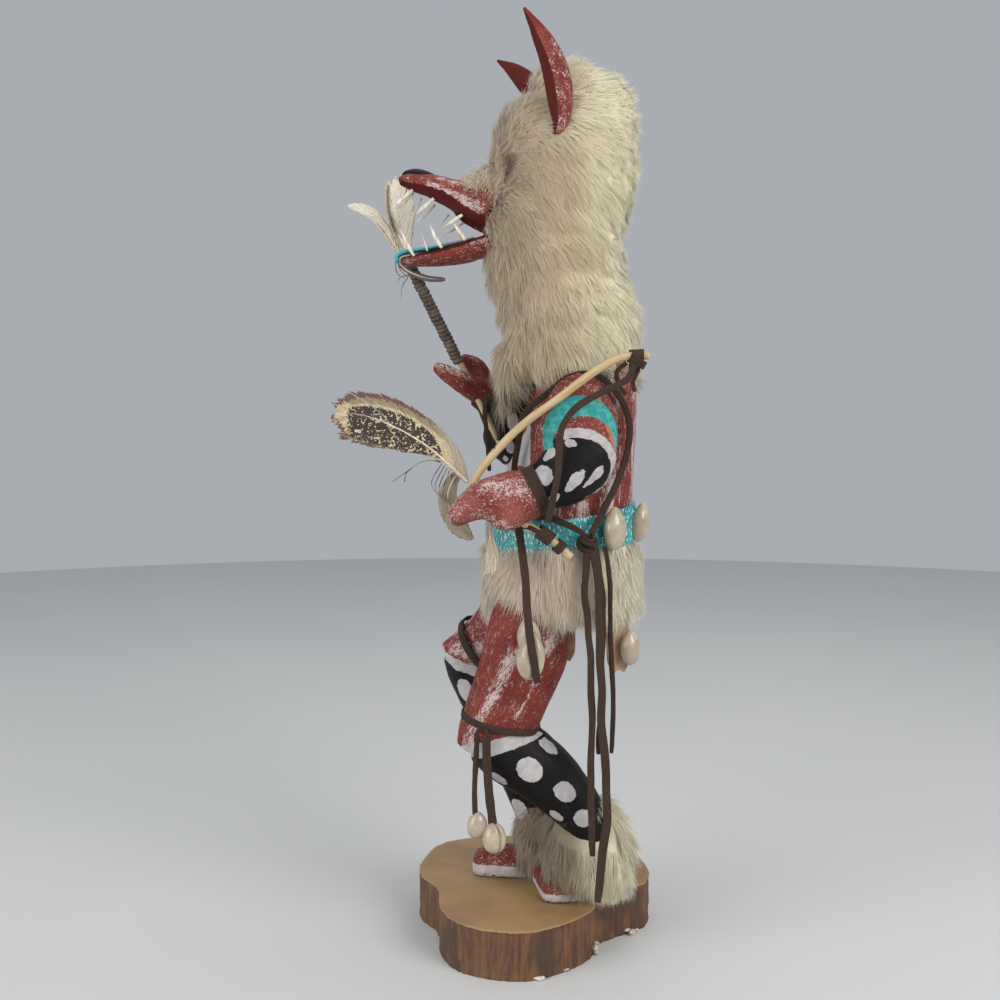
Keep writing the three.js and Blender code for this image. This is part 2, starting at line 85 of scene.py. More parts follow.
# %% A smooth curve through stations
def run_of(rows):
    """How far along its curve each row is."""
    steps = np.linalg.norm(np.diff(rows[:, :3], axis=0), axis=1)
    return np.concatenate([[0.0], np.cumsum(steps)])


def spaced(rows, count):
    """The same curve in count rows at even spacing."""
    run = run_of(rows)
    places = np.linspace(0, run[-1], count)
    return np.stack([np.interp(places, run, column) for column in rows.T], axis=1)


def smooth_through(stations, count, fine=20):
    """count evenly spaced rows along a smooth curve through the stations."""
    rows = np.array(stations, float)
    rows = np.vstack([2 * rows[0] - rows[1], rows, 2 * rows[-1] - rows[-2]])
    share = np.linspace(0, 1, fine, endpoint=False)[:, None]
    spans = []
    for before, start, end, after in zip(rows, rows[1:], rows[2:], rows[3:]):
        bend = 2 * before - 5 * start + 4 * end - after
        flick = 3 * start - before - 3 * end + after
        spans.append((2 * start + (end - before) * share + bend * share**2 + flick * share**3) / 2)
    return spaced(np.vstack(spans + [rows[-2:-1]]), count)


print("a test curve is", round(run_of(smooth_through([(0, 0, 0), (5, 2, 0), (10, 0, 0)], 9))[-1], 2),
      "long")

# %% [markdown]
# A form is then lofted over the rows: a circle is placed at every row, squeezed to the row's two half
# widths and turned square to the curve, and each circle is bridged to the next. One width is measured in
# the plane that divides the doll left from right (deep) and the other across it (wide).

# %% Rings along a curve
ACROSS = Vector((0, 1, 0))


def ring_frames(rows, turns=None, across=ACROSS):
    """For each row (x, y, z, deep, wide), the matrix that places a unit circle there, in metres."""
    spine = [Vector(row[:3]) for row in rows]
    frames = []
    for i, row in enumerate(rows):
        along = (spine[min(i + 1, len(rows) - 1)] - spine[max(i - 1, 0)]).normalized()
        wide = (across - along * along.dot(across)).normalized()
        deep = along.cross(wide)
        place = Matrix((deep * row[3], wide * row[4], along)).transposed().to_4x4()
        if turns is not None:
            twist = Matrix((deep, wide, along)).transposed().to_4x4()
            place = twist @ Matrix.Rotation(turns[i], 4, "Z") @ Matrix.Diagonal((row[3], row[4], 1, 1))
        frames.append(Matrix.Translation(spine[i] * MM) @ Matrix.Scale(MM, 4) @ place)
    return frames


def loft(bm, rows, sides, turns=None, corner=0.0, across=ACROSS):
    """Adds a closed form over the rows to a bmesh and returns its rings of vertices."""
    rings, loops = [], []
    for frame_here in ring_frames(rows, turns, across):
        place = frame_here @ Matrix.Rotation(corner, 4, "Z")
        ring = bmesh.ops.create_circle(bm, cap_ends=False, radius=1, segments=sides, matrix=place)["verts"]
        rings.append(ring)
        loops.append(list(dict.fromkeys(edge for vert in ring for edge in vert.link_edges)))
    for loop, following in zip(loops, loops[1:]):
        bmesh.ops.bridge_loops(bm, edges=loop + following)
    for end in (loops[0], loops[-1]):
        bmesh.ops.edgeloop_fill(bm, edges=end)
    return rings


print("forms are lofted from rings square to their curve")

# %% [markdown]
# A finished bmesh becomes an object in one place. Faces are turned outwards there, the mesh is shaded
# smooth and given its finish, and the piece is tied to the frame: it rides on the doll's one body, and the
# solids of the imported model that it stands for are hidden. Facts that a finish needs, such as where the
# paint goes, are stored on the mesh for each corner.

# %% From bmesh to a piece of the doll
def tied(name, mesh, material, replaces):
    """Makes an object of a mesh and ties it to the frame."""
    mesh.shade_smooth()
    mesh.materials.append(material)
    made = bpy.data.objects.new(name, mesh)
    scene.collection.objects.link(made)
    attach(made, "root")
    if replaces:
        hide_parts(*replaces)
    return made


def piece(name, bm, material, replaces=()):
    """Makes a piece of the doll from a bmesh."""
    bmesh.ops.recalc_face_normals(bm, faces=bm.faces[:])
    mesh = bpy.data.meshes.new(name)
    bm.to_mesh(mesh)
    bm.free()
    print(f"{name}: {len(mesh.polygons)} faces")
    return tied(name, mesh, material, replaces)


def store(made, name, values, kind="FLOAT", field="value"):
    """Keeps a value for every corner on the mesh, for the finish to read."""
    layer = made.data.attributes.new(name, kind, "POINT")
    layer.data.foreach_set(field, np.asarray(values, np.float32).ravel())


print("pieces ride on the body named root")

# %% [markdown]
# Finishes are made of nodes. A recipe is a material whose nodes are added one after another: each new node
# takes plain values or the outputs of earlier ones. Colours are written as they look on a screen, from 0
# to 255, and turned into the light values that Blender works in.

# %% Recipes for finishes
def tint(red, green, blue):
    """A screen colour as linear light."""
    shares = [value / 255 for value in (red, green, blue)]
    return [s / 12.92 if s <= 0.04045 else ((s + 0.055) / 1.055) ** 2.4 for s in shares] + [1.0]


class Recipe:
    """A material in the making."""

    def __init__(self, name, roughness=0.6, **sockets):
        self.material = bpy.data.materials.new(name)
        self.material.use_nodes = True
        self.nodes = self.material.node_tree.nodes
        self.shader = self.nodes["Principled BSDF"]
        self.give(Roughness=roughness, **sockets)
        self.place = self.add("TexCoord").outputs["Object"]

    def put(self, socket, value):
        if isinstance(value, bpy.types.NodeSocket):
            self.material.node_tree.links.new(value, socket)
        else:
            socket.default_value = value

    def give(self, **sockets):
        for name, value in sockets.items():
            self.put(self.shader.inputs[name.replace("_", " ")], value)

    def add(self, kind, *inputs, **settings):
        node = self.nodes.new("ShaderNode" + kind)
        for name, value in settings.items():
            setattr(node, name, value)
        for socket, value in zip(node.inputs, inputs):
            if value is not None:
                self.put(socket, value)
        return node

    def stored(self, name, output="Fac"):
        """A value kept on the mesh."""
        return self.add("Attribute", attribute_name=name).outputs[output]

    def stretch(self, vector, along):
        """A vector scaled on each axis, which stretches a pattern where the scale is low."""
        return self.add("VectorMath", vector, along, operation="MULTIPLY").outputs[0]

    def grain(self, scale, vector=None, detail=3.0, roughness=0.55, distortion=0.0):
        """Soft random blotches, scale to the metre."""
        node = self.add("TexNoise")
        for socket, value in (("Vector", self.place if vector is None else vector), ("Scale", scale),
                              ("Detail", detail), ("Roughness", roughness), ("Distortion", distortion)):
            self.put(node.inputs[socket], value)
        return node.outputs["Fac"]

    def sum(self, a, b, operation="ADD"):
        return self.add("Math", a, b, operation=operation).outputs[0]

    def times(self, a, b):
        return self.sum(a, b, "MULTIPLY")

    def step(self, value, low, high, least=0.0, most=1.0):
        """Rises softly from least to most as the value goes from low to high."""
        node = self.add("MapRange", value, low, high, least, most, interpolation_type="SMOOTHSTEP")
        return node.outputs[0]

    def mix(self, share, under, over):
        """Lays one colour over another. A colour is a screen colour or an output."""
        node = self.add("Mix", data_type="RGBA")
        for index, value in ((0, share), (6, under), (7, over)):
            self.put(node.inputs[index], tint(*value) if isinstance(value, tuple) else value)
        return node.outputs[2]

    def fade(self, value, low, high, under, over, most=1.0):
        """Lays one colour over another where a value rises from low to high."""
        return self.mix(self.step(value, low, high, 0.0, most), under, over)

    def bump(self, height, distance, strength=1.0, under=None):
        """Raises the surface by distance in millimetres where the height is one."""
        node = self.add("Bump")
        self.put(node.inputs["Height"], height)
        node.inputs["Distance"].default_value = distance * MM
        node.inputs["Strength"].default_value = strength
        if under is not None:
            self.put(node.inputs["Normal"], under)
        return node.outputs["Normal"]


print("a screen grey of 128 is", round(tint(128, 128, 128)[0], 3), "of full light")

# %% [markdown]
# The laces are soft suede, cut about 3 mm wide and a little over 1 mm thick. Suede has hardly any shine. Its
# colour is broken by a fine nap and by darker stretches, and the fibres are short, so the bump is small. A
# cut edge is paler. A lace is so narrow that all of it is worn like an edge, and a broad tab is not: a value
# named rim is kept on the mesh and says which it is.

# %% Suede
def suede(name, dark, pale, edge):
    recipe = Recipe(name, roughness=0.95, Sheen_Weight=0.03, Sheen_Roughness=0.6, Specular_IOR_Level=0.1)
    fibre = recipe.grain(2600, detail=4)
    blotch = recipe.grain(160)
    worn = recipe.step(recipe.sum(recipe.stored("rim"), recipe.times(fibre, 0.5)), 0.95, 1.35)
    colour = recipe.fade(blotch, 0.35, 0.65, dark, pale)
    colour = recipe.fade(fibre, 0.5, 0.68, colour, edge, 0.6)
    colour = recipe.mix(recipe.times(worn, 0.55), colour, edge)
    recipe.give(Base_Color=colour, Normal=recipe.bump(fibre, 0.12, 0.8))
    return recipe.material


LACE_SUEDE = suede("lace suede", (22, 15, 12), (40, 29, 24), (84, 68, 58))
TAB_SUEDE = suede("tan suede", (150, 118, 92), (186, 152, 122), (206, 178, 150))
print("suede in two colours:", LACE_SUEDE.name, "and", TAB_SUEDE.name)

# %% [markdown]
# A lace is lofted from rings of four corners, so that it has a flat side and cut edges, and a small bevel
# softens the corners. It turns slowly about its own length, as a strip does when it hangs. Hair-fine waves
# are added to its route, since suede never hangs quite straight. The far end is cut on the slant.

# %% A strip of suede
LACE_THICK = 1.3


def wavy(rows, size, seed):
    """Rows that waver by up to size about their route, less at the start."""
    run = run_of(rows)
    fade = np.clip(run / 12, 0, 1)
    for axis in (0, 1):
        offset = [noise.noise((float(r) / 14, seed * 7.3 + axis * 31.7, 0)) for r in run]
        rows[:, axis] += np.array(offset) * size * fade
    return rows


def strip(bm, route, width, thick, count, seed=0, turn=0.0, twist=0.8, wave=0.8, taper=0.25, across=ACROSS):
    """Adds a lace to a bmesh and returns the points it follows, in metres."""
    rim = bm.verts.layers.float.get("rim") or bm.verts.layers.float.new("rim")
    rows = wavy(smooth_through(route, count), wave, seed)
    share = np.linspace(0, 1, count)
    swell = 1 + 0.12 * np.array([noise.noise((s * 9, seed * 3.1, 5)) for s in share])
    narrow = 1 - taper * np.clip((share - 0.97) / 0.03, 0, 1)
    size = [math.sqrt(0.5) * thick * swell, math.sqrt(0.5) * width * swell * narrow]
    turns = turn + twist * np.array([noise.noise((s * 3, seed * 5.7, 9)) for s in share])
    rings = loft(bm, np.column_stack([rows[:, :3], *size]), 4, turns, math.pi / 4, across)
    for ring in rings:
        for vert in ring:
            vert[rim] = 1.0
    return [Vector(row) * MM for row in rows[:, :3]]


def soft_corners(made, width, segments=2):
    """Rounds the sharp edges of a piece."""
    bevel = made.modifiers.new("corners", "BEVEL")
    bevel.width = width * MM
    bevel.segments = segments
    bevel.limit_method = "ANGLE"
    bevel.angle_limit = math.radians(50)
    return made


print("laces are", LACE_THICK, "mm thick")

# %% [markdown]
# These are the laces that hang free: four tails from the knot at the hip, one from the left wrist with two
# cowries at its end, and one from the right wrist. The two long tails reach almost to the base, and the
# others stop above the knee.

# %% Hanging laces
HIP_KNOT = (23, -36.5, 182.6)
TAIL_WIDTHS = (2.9, 3.5, 2.0, 2.0)
TAIL_ROUTES = (
    [(22.4, -37.4, 182.5), (21.8, -41.5, 162), (23, -42.8, 146), (24.6, -43, 114), (24.2, -44, 80),
     (25, -44.5, 49)],
    [(24.8, -37.6, 182.5), (27.2, -42.5, 162), (28, -43.5, 130), (29.4, -44, 100), (31.2, -45, 80),
     (30.4, -46, 62), (27, -47, 30)],
    [(26.4, -36, 182.5), (28.2, -38.2, 170), (29.5, -39.4, 155), (29, -39.4, 130), (28, -39.4, 92)],
    [(30.5, -34.4, 181), (32.4, -37.6, 168), (32.6, -38, 150), (34, -38.4, 115), (33.5, -38.4, 92)],
)
KILT_LACE = [(-7, -34.5, 193), (-5.3, -37, 182), (-3.6, -42, 165), (-2.6, -46, 150), (-0.8, -48.6, 137),
             (1.3, -47, 124.5)]
WRIST_LACE = [(-21, 12.8, 245), (-21.5, 9.5, 239), (-20.5, 9, 226), (-19.5, 9.5, 212)]


def lace(name, route, width, count, seed, wave=0.8, **cord):
    """One suede lace as its own piece. The cord facts are not used."""
    bm = bmesh.new()
    path = strip(bm, route, width, LACE_THICK, count, seed, turn=math.pi / 2, wave=wave)
    made = soft_corners(piece(name + "_suede", bm, LACE_SUEDE, [name]), 0.22)
    return made


for i, (route, width) in enumerate(zip(TAIL_ROUTES, TAIL_WIDTHS)):
    lace(f"hip_lace_{i + 1}", route, width, 60, seed=i, lay="hanging", far_end="bare")
lace("wrist_lace_1", WRIST_LACE, 2.0, 30, seed=12, wave=0.4, lay="hanging", far_end="bare")

# %% [markdown]
# The figure is whittled from cottonwood root: torso, two legs, two arms and the wolf's head are separate
# blocks that are pegged together. A leg is a thigh, a shin and a moccasin in one block. Each part could be
# sculpted by hand, but lofts that run into each other are quicker to control. A voxel remesh then fuses
# them into one skin of small even faces, a little smoothing rounds the joins, and the knife's wavering
# marks are pushed into the skin with two sizes of noise.

# %% Blocks of carved wood
def fused(bm, voxel, smoothing=3):
    """Fuses the overlapping forms of a bmesh into one skin of faces about a voxel wide."""
    bmesh.ops.recalc_face_normals(bm, faces=bm.faces[:])
    mesh = bpy.data.meshes.new("block")
    bm.to_mesh(mesh)
    bm.free()
    block = bpy.data.objects.new("block", mesh)
    scene.collection.objects.link(block)
    remesh = block.modifiers.new("fuse", "REMESH")
    remesh.mode = "VOXEL"
    remesh.voxel_size = voxel * MM
    skin = bpy.data.meshes.new_from_object(block.evaluated_get(bpy.context.evaluated_depsgraph_get()))
    bpy.data.objects.remove(block)
    bpy.data.meshes.remove(mesh)
    bm = bmesh.new()
    bm.from_mesh(skin)
    bpy.data.meshes.remove(skin)
    for _ in range(smoothing):
        bmesh.ops.smooth_vert(bm, verts=bm.verts[:], factor=0.5, use_axis_x=True, use_axis_y=True,
                              use_axis_z=True)
    return bm


def whittled(bm, depth=0.35, size=9.0, seed=0):
    """Leaves knife marks: broad shallow facets and a finer chatter."""
    bm.normal_update()
    shift = Vector((seed * 3.7, seed * 1.3, seed * 2.1))
    for vert in bm.verts:
        spot = vert.co / (size * MM)
        height = noise.noise(spot + shift) + 0.35 * noise.noise(spot * 3.1 + shift)
        vert.co += vert.normal * height * depth * MM
    return bm


def limb(bm, stations, sides=28, pace=1.6):
    """Adds a form through (x, y, z, deep, wide) stations, with a ring about every pace millimetres."""
    length = run_of(smooth_through(stations, 60))[-1]
    loft(bm, smooth_through(stations, max(6, int(length / pace))), sides)


def trimmed(bm, at, normal):
    """Cuts away what lies on the far side of a plane, and closes the cut."""
    everything = bm.verts[:] + bm.edges[:] + bm.faces[:]
    bmesh.ops.bisect_plane(bm, geom=everything, plane_co=Vector(at) * MM, plane_no=normal, clear_outer=True)
    bmesh.ops.holes_fill(bm, edges=[edge for edge in bm.edges if edge.is_boundary])
    return bm


print("blocks are fused, smoothed and whittled")

# %% [markdown]
# The paint is brushed on in flat areas: brick red all over, black on the forearms and shins, white bands
# where black meets red, white spots, and a turquoise armband. Then a nearly dry brush of white has been
# dragged along the limbs. Each area is kept on the mesh as a distance in millimetres, positive inside its
# outline. The finish turns the distance into a crisp edge and lets noise waver it, as a hand does, and the
# edge stays sharp however large the faces are.

# %% Where the paint goes
def points_of(bm):
    return np.array([vert.co for vert in bm.verts]) / MM


def past(points, a, b, c, towards):
    """Distance past the plane through three points, on the side of a fourth."""
    a, b, c, towards = (np.array(p, float) for p in (a, b, c, towards))
    normal = np.cross(b - a, c - a)
    normal /= np.linalg.norm(normal)
    return (points - a) @ (normal if (towards - a) @ normal > 0 else -normal)


def beyond(points, at, along):
    """Distance past a plane through a point, in a direction."""
    along = np.array(along, float)
    return (points - np.array(at)) @ (along / np.linalg.norm(along))


def oval(points, centre, half_long, half_wide, aim=(0, 0, 1), drop=0.0):
    """A painted oval round the skin's nearest point to centre. With drop, one end is drawn out."""
    middle = points[np.argmin(((points - np.array(centre)) ** 2).sum(1))]
    aim = np.array(aim, float) / np.linalg.norm(aim)
    away = points - middle
    along = away @ aim
    aside = np.linalg.norm(away - along[:, None] * aim, axis=1)
    slim = half_wide * np.clip(1 - drop * along / half_long, 0.15, 2)
    return (1 - np.hypot(along / half_long, aside / slim)) * half_wide


def brushed(points, start, end, width):
    """Strength of a dry brush stroke from start to end: one on its line, none width away."""
    start, end = np.array(start, float), np.array(end, float)
    line = end - start
    share = np.clip((points - start) @ line / (line @ line), 0, 1)
    return np.clip(1 - np.linalg.norm(points - start - share[:, None] * line, axis=1) / width, 0, 1)


def most(*fields):
    return np.maximum.reduce(fields)


def least(*fields):
    return np.minimum.reduce(fields)


NOWHERE = -50.0
PAINTS = ("rosy", "black", "blue", "bare", "white", "deep", "dots")


def painted(name, bm, replaces, strokes, dry, drag=0.88, **areas):
    """A painted block. strokes is the way the brush ran, dry its strength, drag how streaky it is."""
    points = points_of(bm)
    made = piece(name, bm, PAINTED_WOOD, replaces)
    along = np.array(strokes, float) / np.linalg.norm(strokes)
    flow = points - (points @ along)[:, None] * along * drag
    store(made, "flow", flow * MM, "FLOAT_VECTOR", "vector")
    for paint in PAINTS:
        store(made, paint, np.broadcast_to(areas.get(paint, NOWHERE), len(points)))
    store(made, "dry", np.broadcast_to(dry, len(points)))
    return made


print("paint areas:", ", ".join(PAINTS))

# %% [markdown]
# One recipe then paints every block. The red is thin poster paint over wood, a little darker where it
# pooled. The dry brush only catches the high grain: a noise stretched along the stroke is compared with the
# stroke's strength, which gives broken streaks. Black has some gloss, white none. The grain of the brush and
# of the wood is raised a tenth of a millimetre.

# %% Painted wood
def painted_wood():
    recipe = Recipe("painted wood", roughness=0.6, Specular_IOR_Level=0.22)
    flow = recipe.stored("flow", "Vector")
    streaks = recipe.grain(1500, flow, detail=5, roughness=0.7)
    broad = recipe.grain(420, flow, detail=3)
    specks = recipe.grain(2100, detail=4, roughness=0.7)
    waver = recipe.times(recipe.sum(recipe.grain(420, detail=2), 0.5, "SUBTRACT"), 1.6)

    def area(name, soft=0.12):
        return recipe.step(recipe.sum(recipe.stored(name), waver), -soft, soft)

    red = recipe.fade(recipe.grain(90), 0.35, 0.7, (104, 37, 27), (124, 50, 38))
    red = recipe.fade(streaks, 0.5, 0.75, red, (92, 34, 26), 0.5)
    catch = recipe.sum(recipe.times(streaks, 0.62), recipe.times(specks, 0.5))
    catch = recipe.sum(catch, recipe.times(broad, 0.3))
    brush = recipe.sum(catch, recipe.times(recipe.stored("dry"), 0.4))
    haze = recipe.step(brush, 0.78, 1.1, 0, 0.36)
    shown = recipe.step(brush, 0.95, 1.01, 0, 0.85)
    rosy = recipe.times(area("rosy", 1.5), recipe.step(recipe.grain(110), 0.38, 0.56, 0.1, 0.75))
    red = recipe.mix(rosy, red, (144, 78, 68))
    colour = recipe.mix(haze, red, (172, 108, 100))
    colour = recipe.mix(shown, colour, (212, 194, 190))
    deep = area("deep", 0.3)
    colour = recipe.mix(deep, colour, recipe.mix(streaks, (66, 15, 12), (98, 25, 19)))
    sooty = recipe.fade(streaks, 0.55, 0.8, (13, 12, 13), (40, 38, 38))
    wood = recipe.fade(streaks, 0.35, 0.7, (188, 136, 100), (150, 96, 68))
    colour = recipe.mix(area("bare", 0.5), colour, wood)
    colour = recipe.mix(area("black"), colour, sooty)
    sky = recipe.fade(broad, 0.4, 0.65, (46, 148, 146), (86, 178, 172))
    colour = recipe.mix(area("blue"), colour, sky)
    chalk = recipe.fade(broad, 0.3, 0.7, (172, 166, 167), (196, 191, 189))
    chalk = recipe.fade(specks, 0.70, 0.74, chalk, (120, 108, 106))
    colour = recipe.mix(area("white"), colour, chalk)
    colour = recipe.mix(area("dots"), colour, (30, 28, 28))
    rough = recipe.sum(0.62, recipe.times(area("black"), -0.16))
    rough = recipe.sum(rough, recipe.times(recipe.sum(streaks, shown), 0.1))
    raised = recipe.bump(recipe.sum(streaks, recipe.times(shown, 0.6)), 0.16, 0.8)
    thick = recipe.bump(recipe.sum(area("white"), area("blue")), 0.12, 0.7, raised)
    recipe.give(Base_Color=colour, Roughness=rough, Normal=thick)
    return recipe.material


PAINTED_WOOD = painted_wood()
print("painted wood has", len(PAINTED_WOOD.node_tree.nodes), "nodes")

# %% [markdown]
# The torso is a slightly flattened tube that leans back to broad shoulders. It is almost all hidden: the
# hood covers the top, the belt and kilt the rest. The paint shows in tall streaks.

# %% The torso
HIP_X = 13
TORSO = [(HIP_X, 0, 150, 29, 27), (HIP_X, 0, 168, 32, 29), (HIP_X, 0, 186, 32.3, 29),
         (17, 0, 206, 29.5, 26.5), (21, 0, 226, 26, 25.5), (23, 0, 246, 24.5, 25.5), (23, 0, 262, 22, 22)]

torso_bm = bmesh.new()
limb(torso_bm, TORSO, sides=72, pace=2.0)
whittled(torso_bm, depth=0.5, size=14, seed=1)
body = points_of(torso_bm)
stripes = [brushed(body, (x, y, 180), (x + 2, y * 0.9, 252), 4.5)
           for x, y in ((8, -27), (20, -28), (33, -22), (43, -8), (41, 12), (30, 24), (10, 27), (-14, 16),
                        (-18, -8))]
front_stripe = 3.2 - np.abs(beyond(body, (-7.5, -8, 230), (0.75, 0.66, 0)))
painted("torso_block", torso_bm, ["torso"], (0, 0, 1), 0.46 + 0.44 * most(*stripes), drag=0.8,
        white=least(front_stripe, -5 - body[:, 0] + 4, 248 - body[:, 2]))

# %% [markdown]
# The left leg takes the weight. Its thigh slopes forward to the knee, where it was cut off square, and the
# shin runs back and down from there into a moccasin. The white band marks the knee, the shin is black with
# egg-sized white spots, and the sole has a white edge with a row of black dots.

# %% The legs
SOLE = 21.9
FOOT_RISE = 8.6
FOOT_SHAPE = ((40, -1, 7), (32, 0, 9), (16, 0, 10.4), (5, -1.5, 10.2), (1.5, -2.5, 9.2), (0, -4, 7.6))


def foot(bm, toe_x, y, broad, splay):
    """A moccasin with its toe at -X, turned by a slope of splay towards +Y at the heel."""
    middle = SOLE + FOOT_RISE / 3
    limb(bm, [(toe_x + back, y + splay * back, middle, FOOT_RISE + lower, wide * broad)
              for back, lower, wide in FOOT_SHAPE])


def leg(thigh, shin, toe_x, foot_y, broad, splay):
    bm = bmesh.new()
    for form in (thigh, shin):
        limb(bm, form)
    foot(bm, toe_x, foot_y, broad, splay)
    trimmed(bm, (0, 0, SOLE), (0, 0, -1))
    return whittled(fused(bm, 1.12), seed=toe_x)


def shoe_paint(points, toe_x, y, tall):
    """The sole's white edge, and the black dots along it."""
    edge = np.where(points[:, 2] < SOLE + 12, SOLE + tall - points[:, 2], NOWHERE)
    dots = [oval(points, (toe_x + 5 + step * 4.3, y + side * 13, SOLE + 1.2), 0.7, 0.45, (1, 0, 0))
            for step in range(5) for side in (-1, 1)]
    return edge, most(*dots)


LEFT_THIGH = [(2, -15, 164, 13, 11), (-0.5, -17, 150, 17, 13.5), (-2, -18.5, 138, 19.2, 15),
              (-6, -19, 124, 18.5, 15), (-13, -20, 106, 17, 14.5), (-16.5, -20, 95, 16.9, 14.2),
              (-19, -20, 87, 15.8, 13.8)]
LEFT_SHIN = [(-20, -20, 96, 13.5, 13), (-11, -20, 89.5, 15.5, 14.5), (4, -20, 79, 14.5, 14),
             (18, -20, 65, 11.8, 12), (26, -19.5, 52, 9.2, 10), (28.5, -19, 40, 8, 8.5),
             (28.5, -19, 27, 7.5, 8)]
LEFT_SPOTS = [((-2.2, -34.5, 83.9), 6.2, 5.3), ((13.6, -33, 73.6), 5.4, 4.2), ((22, -30, 60.8), 4.2, 4.0),
              ((8.5, -30, 95.5), 5.5, 3.2), ((-15.4, -31, 77), 4.5, 3.0), ((9, -31, 60), 3.5, 2.6),
              ((-6, -10, 76), 5, 4.4), ((10, -8, 64), 4.6, 4), ((3, -14, 94), 5, 4),
              ((18, -10, 78), 4.4, 3.8), ((30, -12, 55), 3.6, 3.2)]

left_bm = leg(LEFT_THIGH, LEFT_SHIN, 2.2, -14.5, 1.58, 0.16)
skin = points_of(left_bm)
shin_side = (20, -20, 60)
above = past(skin, (-33.7, -20, 90.6), (-14.9, -35, 97.3), (2.3, -20, 99.6), shin_side)
below = past(skin, (-32.5, -20, 84.9), (-12.3, -35, 91.4), (3.6, -20, 96.6), shin_side)
shoe, dots = shoe_paint(skin, 2.2, -14.5, 4.0)
not_shoe = skin[:, 2] - 36
spots = most(*[oval(skin, at, long, wide, (15, 0, -11)) for at, long, wide in LEFT_SPOTS])
THIGH_STROKES = [((-8, -34, 135), (-23.5, -33.5, 106), 4.6), ((5, -33, 125), (-8, -35, 106), 1.8),
                 ((-1, -34, 112), (-4, -35, 105), 2.2), ((12, -30, 148), (6, -33, 136), 5.5),
                 ((-24, -30, 103), (-28, -30, 93), 5), ((-18, -29, 143), (-25, -29, 126), 2.4),
                 ((-16, -14, 138), (-30, -14, 104), 3), ((14, -12, 140), (0, -10, 106), 3)]
strokes = most(*[brushed(skin, *stroke) for stroke in THIGH_STROKES])
painted("left_leg_block", left_bm, ["left_leg"], (-14, 0, -24), 0.42 + 0.46 * strokes, drag=0.66,
        black=least(below, not_shoe),
        white=most(least(above, -below), least(spots, below - 1, not_shoe), shoe), dots=dots)

# %% [markdown]
# The right leg is lifted in a step: the thigh juts forward and the shin drops under it.

# %% The raised leg
RIGHT_THIGH = [(4, 16, 158, 19, 13), (-6, 17, 144, 17.5, 14), (-15, 18, 133.5, 15.5, 14),
               (-26, 18, 124.8, 14.2, 13), (-34.6, 18, 118.0, 13.6, 12.5)]
RIGHT_SHIN = [(-30, 18, 127.5, 12.5, 12), (-26, 18, 118, 13.8, 13), (-19.5, 17.5, 103, 13.2, 12.5),
              (-8, 16, 76, 11.2, 11), (0, 14.5, 54, 9, 9), (3.5, 13.5, 40, 8, 8.5), (4, 13.5, 27, 7.5, 8)]
RIGHT_SPOTS = [((-30, 8, 109), 6, 4.4), ((-5.5, 8, 52), 6, 4.4), ((-23, 8, 88), 5, 4),
               ((-12, 28, 98), 5.5, 4.4), ((-24, 30, 112), 5.5, 4.6), ((-4, 26, 74), 5, 4),
               ((3, 22, 54), 4.4, 3.4), ((-10, 18, 108), 5, 4), ((4, 16, 82), 5, 3.8),
               ((-28, 20, 90), 4.6, 4), ((-14, 20, 62), 4.4, 3.6)]

right_bm = leg(RIGHT_THIGH, RIGHT_SHIN, -26.5, 15, 1.2, -0.12)
skin = points_of(right_bm)
shin_side = (-10, 15, 70)
above = past(skin, (-42.1, 18, 130.3), (-29, 6, 122.4), (-13, 18, 121), shin_side)
below = past(skin, (-41.2, 18, 125.2), (-30, 6, 117.8), (-13, 18, 116.5), shin_side)
shoe, dots = shoe_paint(skin, -26.5, 15, 5.6)
not_shoe = skin[:, 2] - 36
spots = most(*[oval(skin, at, long, wide, (10, 0, -26)) for at, long, wide in RIGHT_SPOTS])
strokes = most(brushed(skin, (-10, 4, 140), (-24, 5, 128), 6),
               brushed(skin, (-36, 8, 130), (-22, 4, 122), 5),
               brushed(skin, (-14, 28, 140), (-34, 26, 128), 5),
               brushed(skin, (-22, 18, 142), (-36, 18, 134), 5))
painted("right_leg_block", right_bm, ["right_leg"], (-12, 0, -10), 0.5 + 0.32 * strokes, drag=0.35,
        black=least(below, not_shoe),
        white=most(least(above, -below), least(spots, below - 1, not_shoe), shoe), dots=dots)

# %% [markdown]
# The left arm hangs from the shoulder, bends sharply at the elbow and reaches forward to a mitten hand that
# holds the bow. The turquoise armband and the white band at the elbow are painted, and a strip of bare wood
# shows where the arm was pegged on. The forearm is black with drop-shaped spots.

# %% The arms
LEFT_ARM = [(20, -33, 252.5, 5, 6), (19.5, -35, 248, 11, 9), (19, -38, 238, 15.6, 11),
            (19.5, -40, 227, 15.8, 12), (18.5, -41, 218, 15.2, 12), (11.5, -41.5, 211.5, 13.2, 11.5),
            (2, -42, 206.5, 9.6, 9.5)]
LEFT_HAND = [(4, -42, 206.5, 8, 8), (-1, -42.5, 204.5, 10.3, 9), (-8, -43, 202.6, 11.8, 9),
             (-15, -43, 201.8, 11, 8.5), (-22, -43, 201.3, 8.8, 7.5), (-28.5, -43, 198, 6.2, 6),
             (-34, -43, 194.2, 4.6, 4.5), (-36.2, -43, 193.2, 2, 3)]
LEFT_GRIP = [(-9.5, -44, 203, 8.5, 7.5), (-10.8, -45, 196, 8.8, 7), (-10.8, -45.5, 191.6, 7, 6),
             (-10.6, -45.5, 189.2, 3.4, 3.4)]
RIGHT_ARM = [(25, 30, 254, 7, 7), (22, 33, 247, 13, 10), (10, 34, 237, 17, 12),
             (-3.5, 30.5, 232.5, 20.5, 13), (-12, 26.5, 241, 14, 11), (-23, 22.5, 250, 7, 8)]
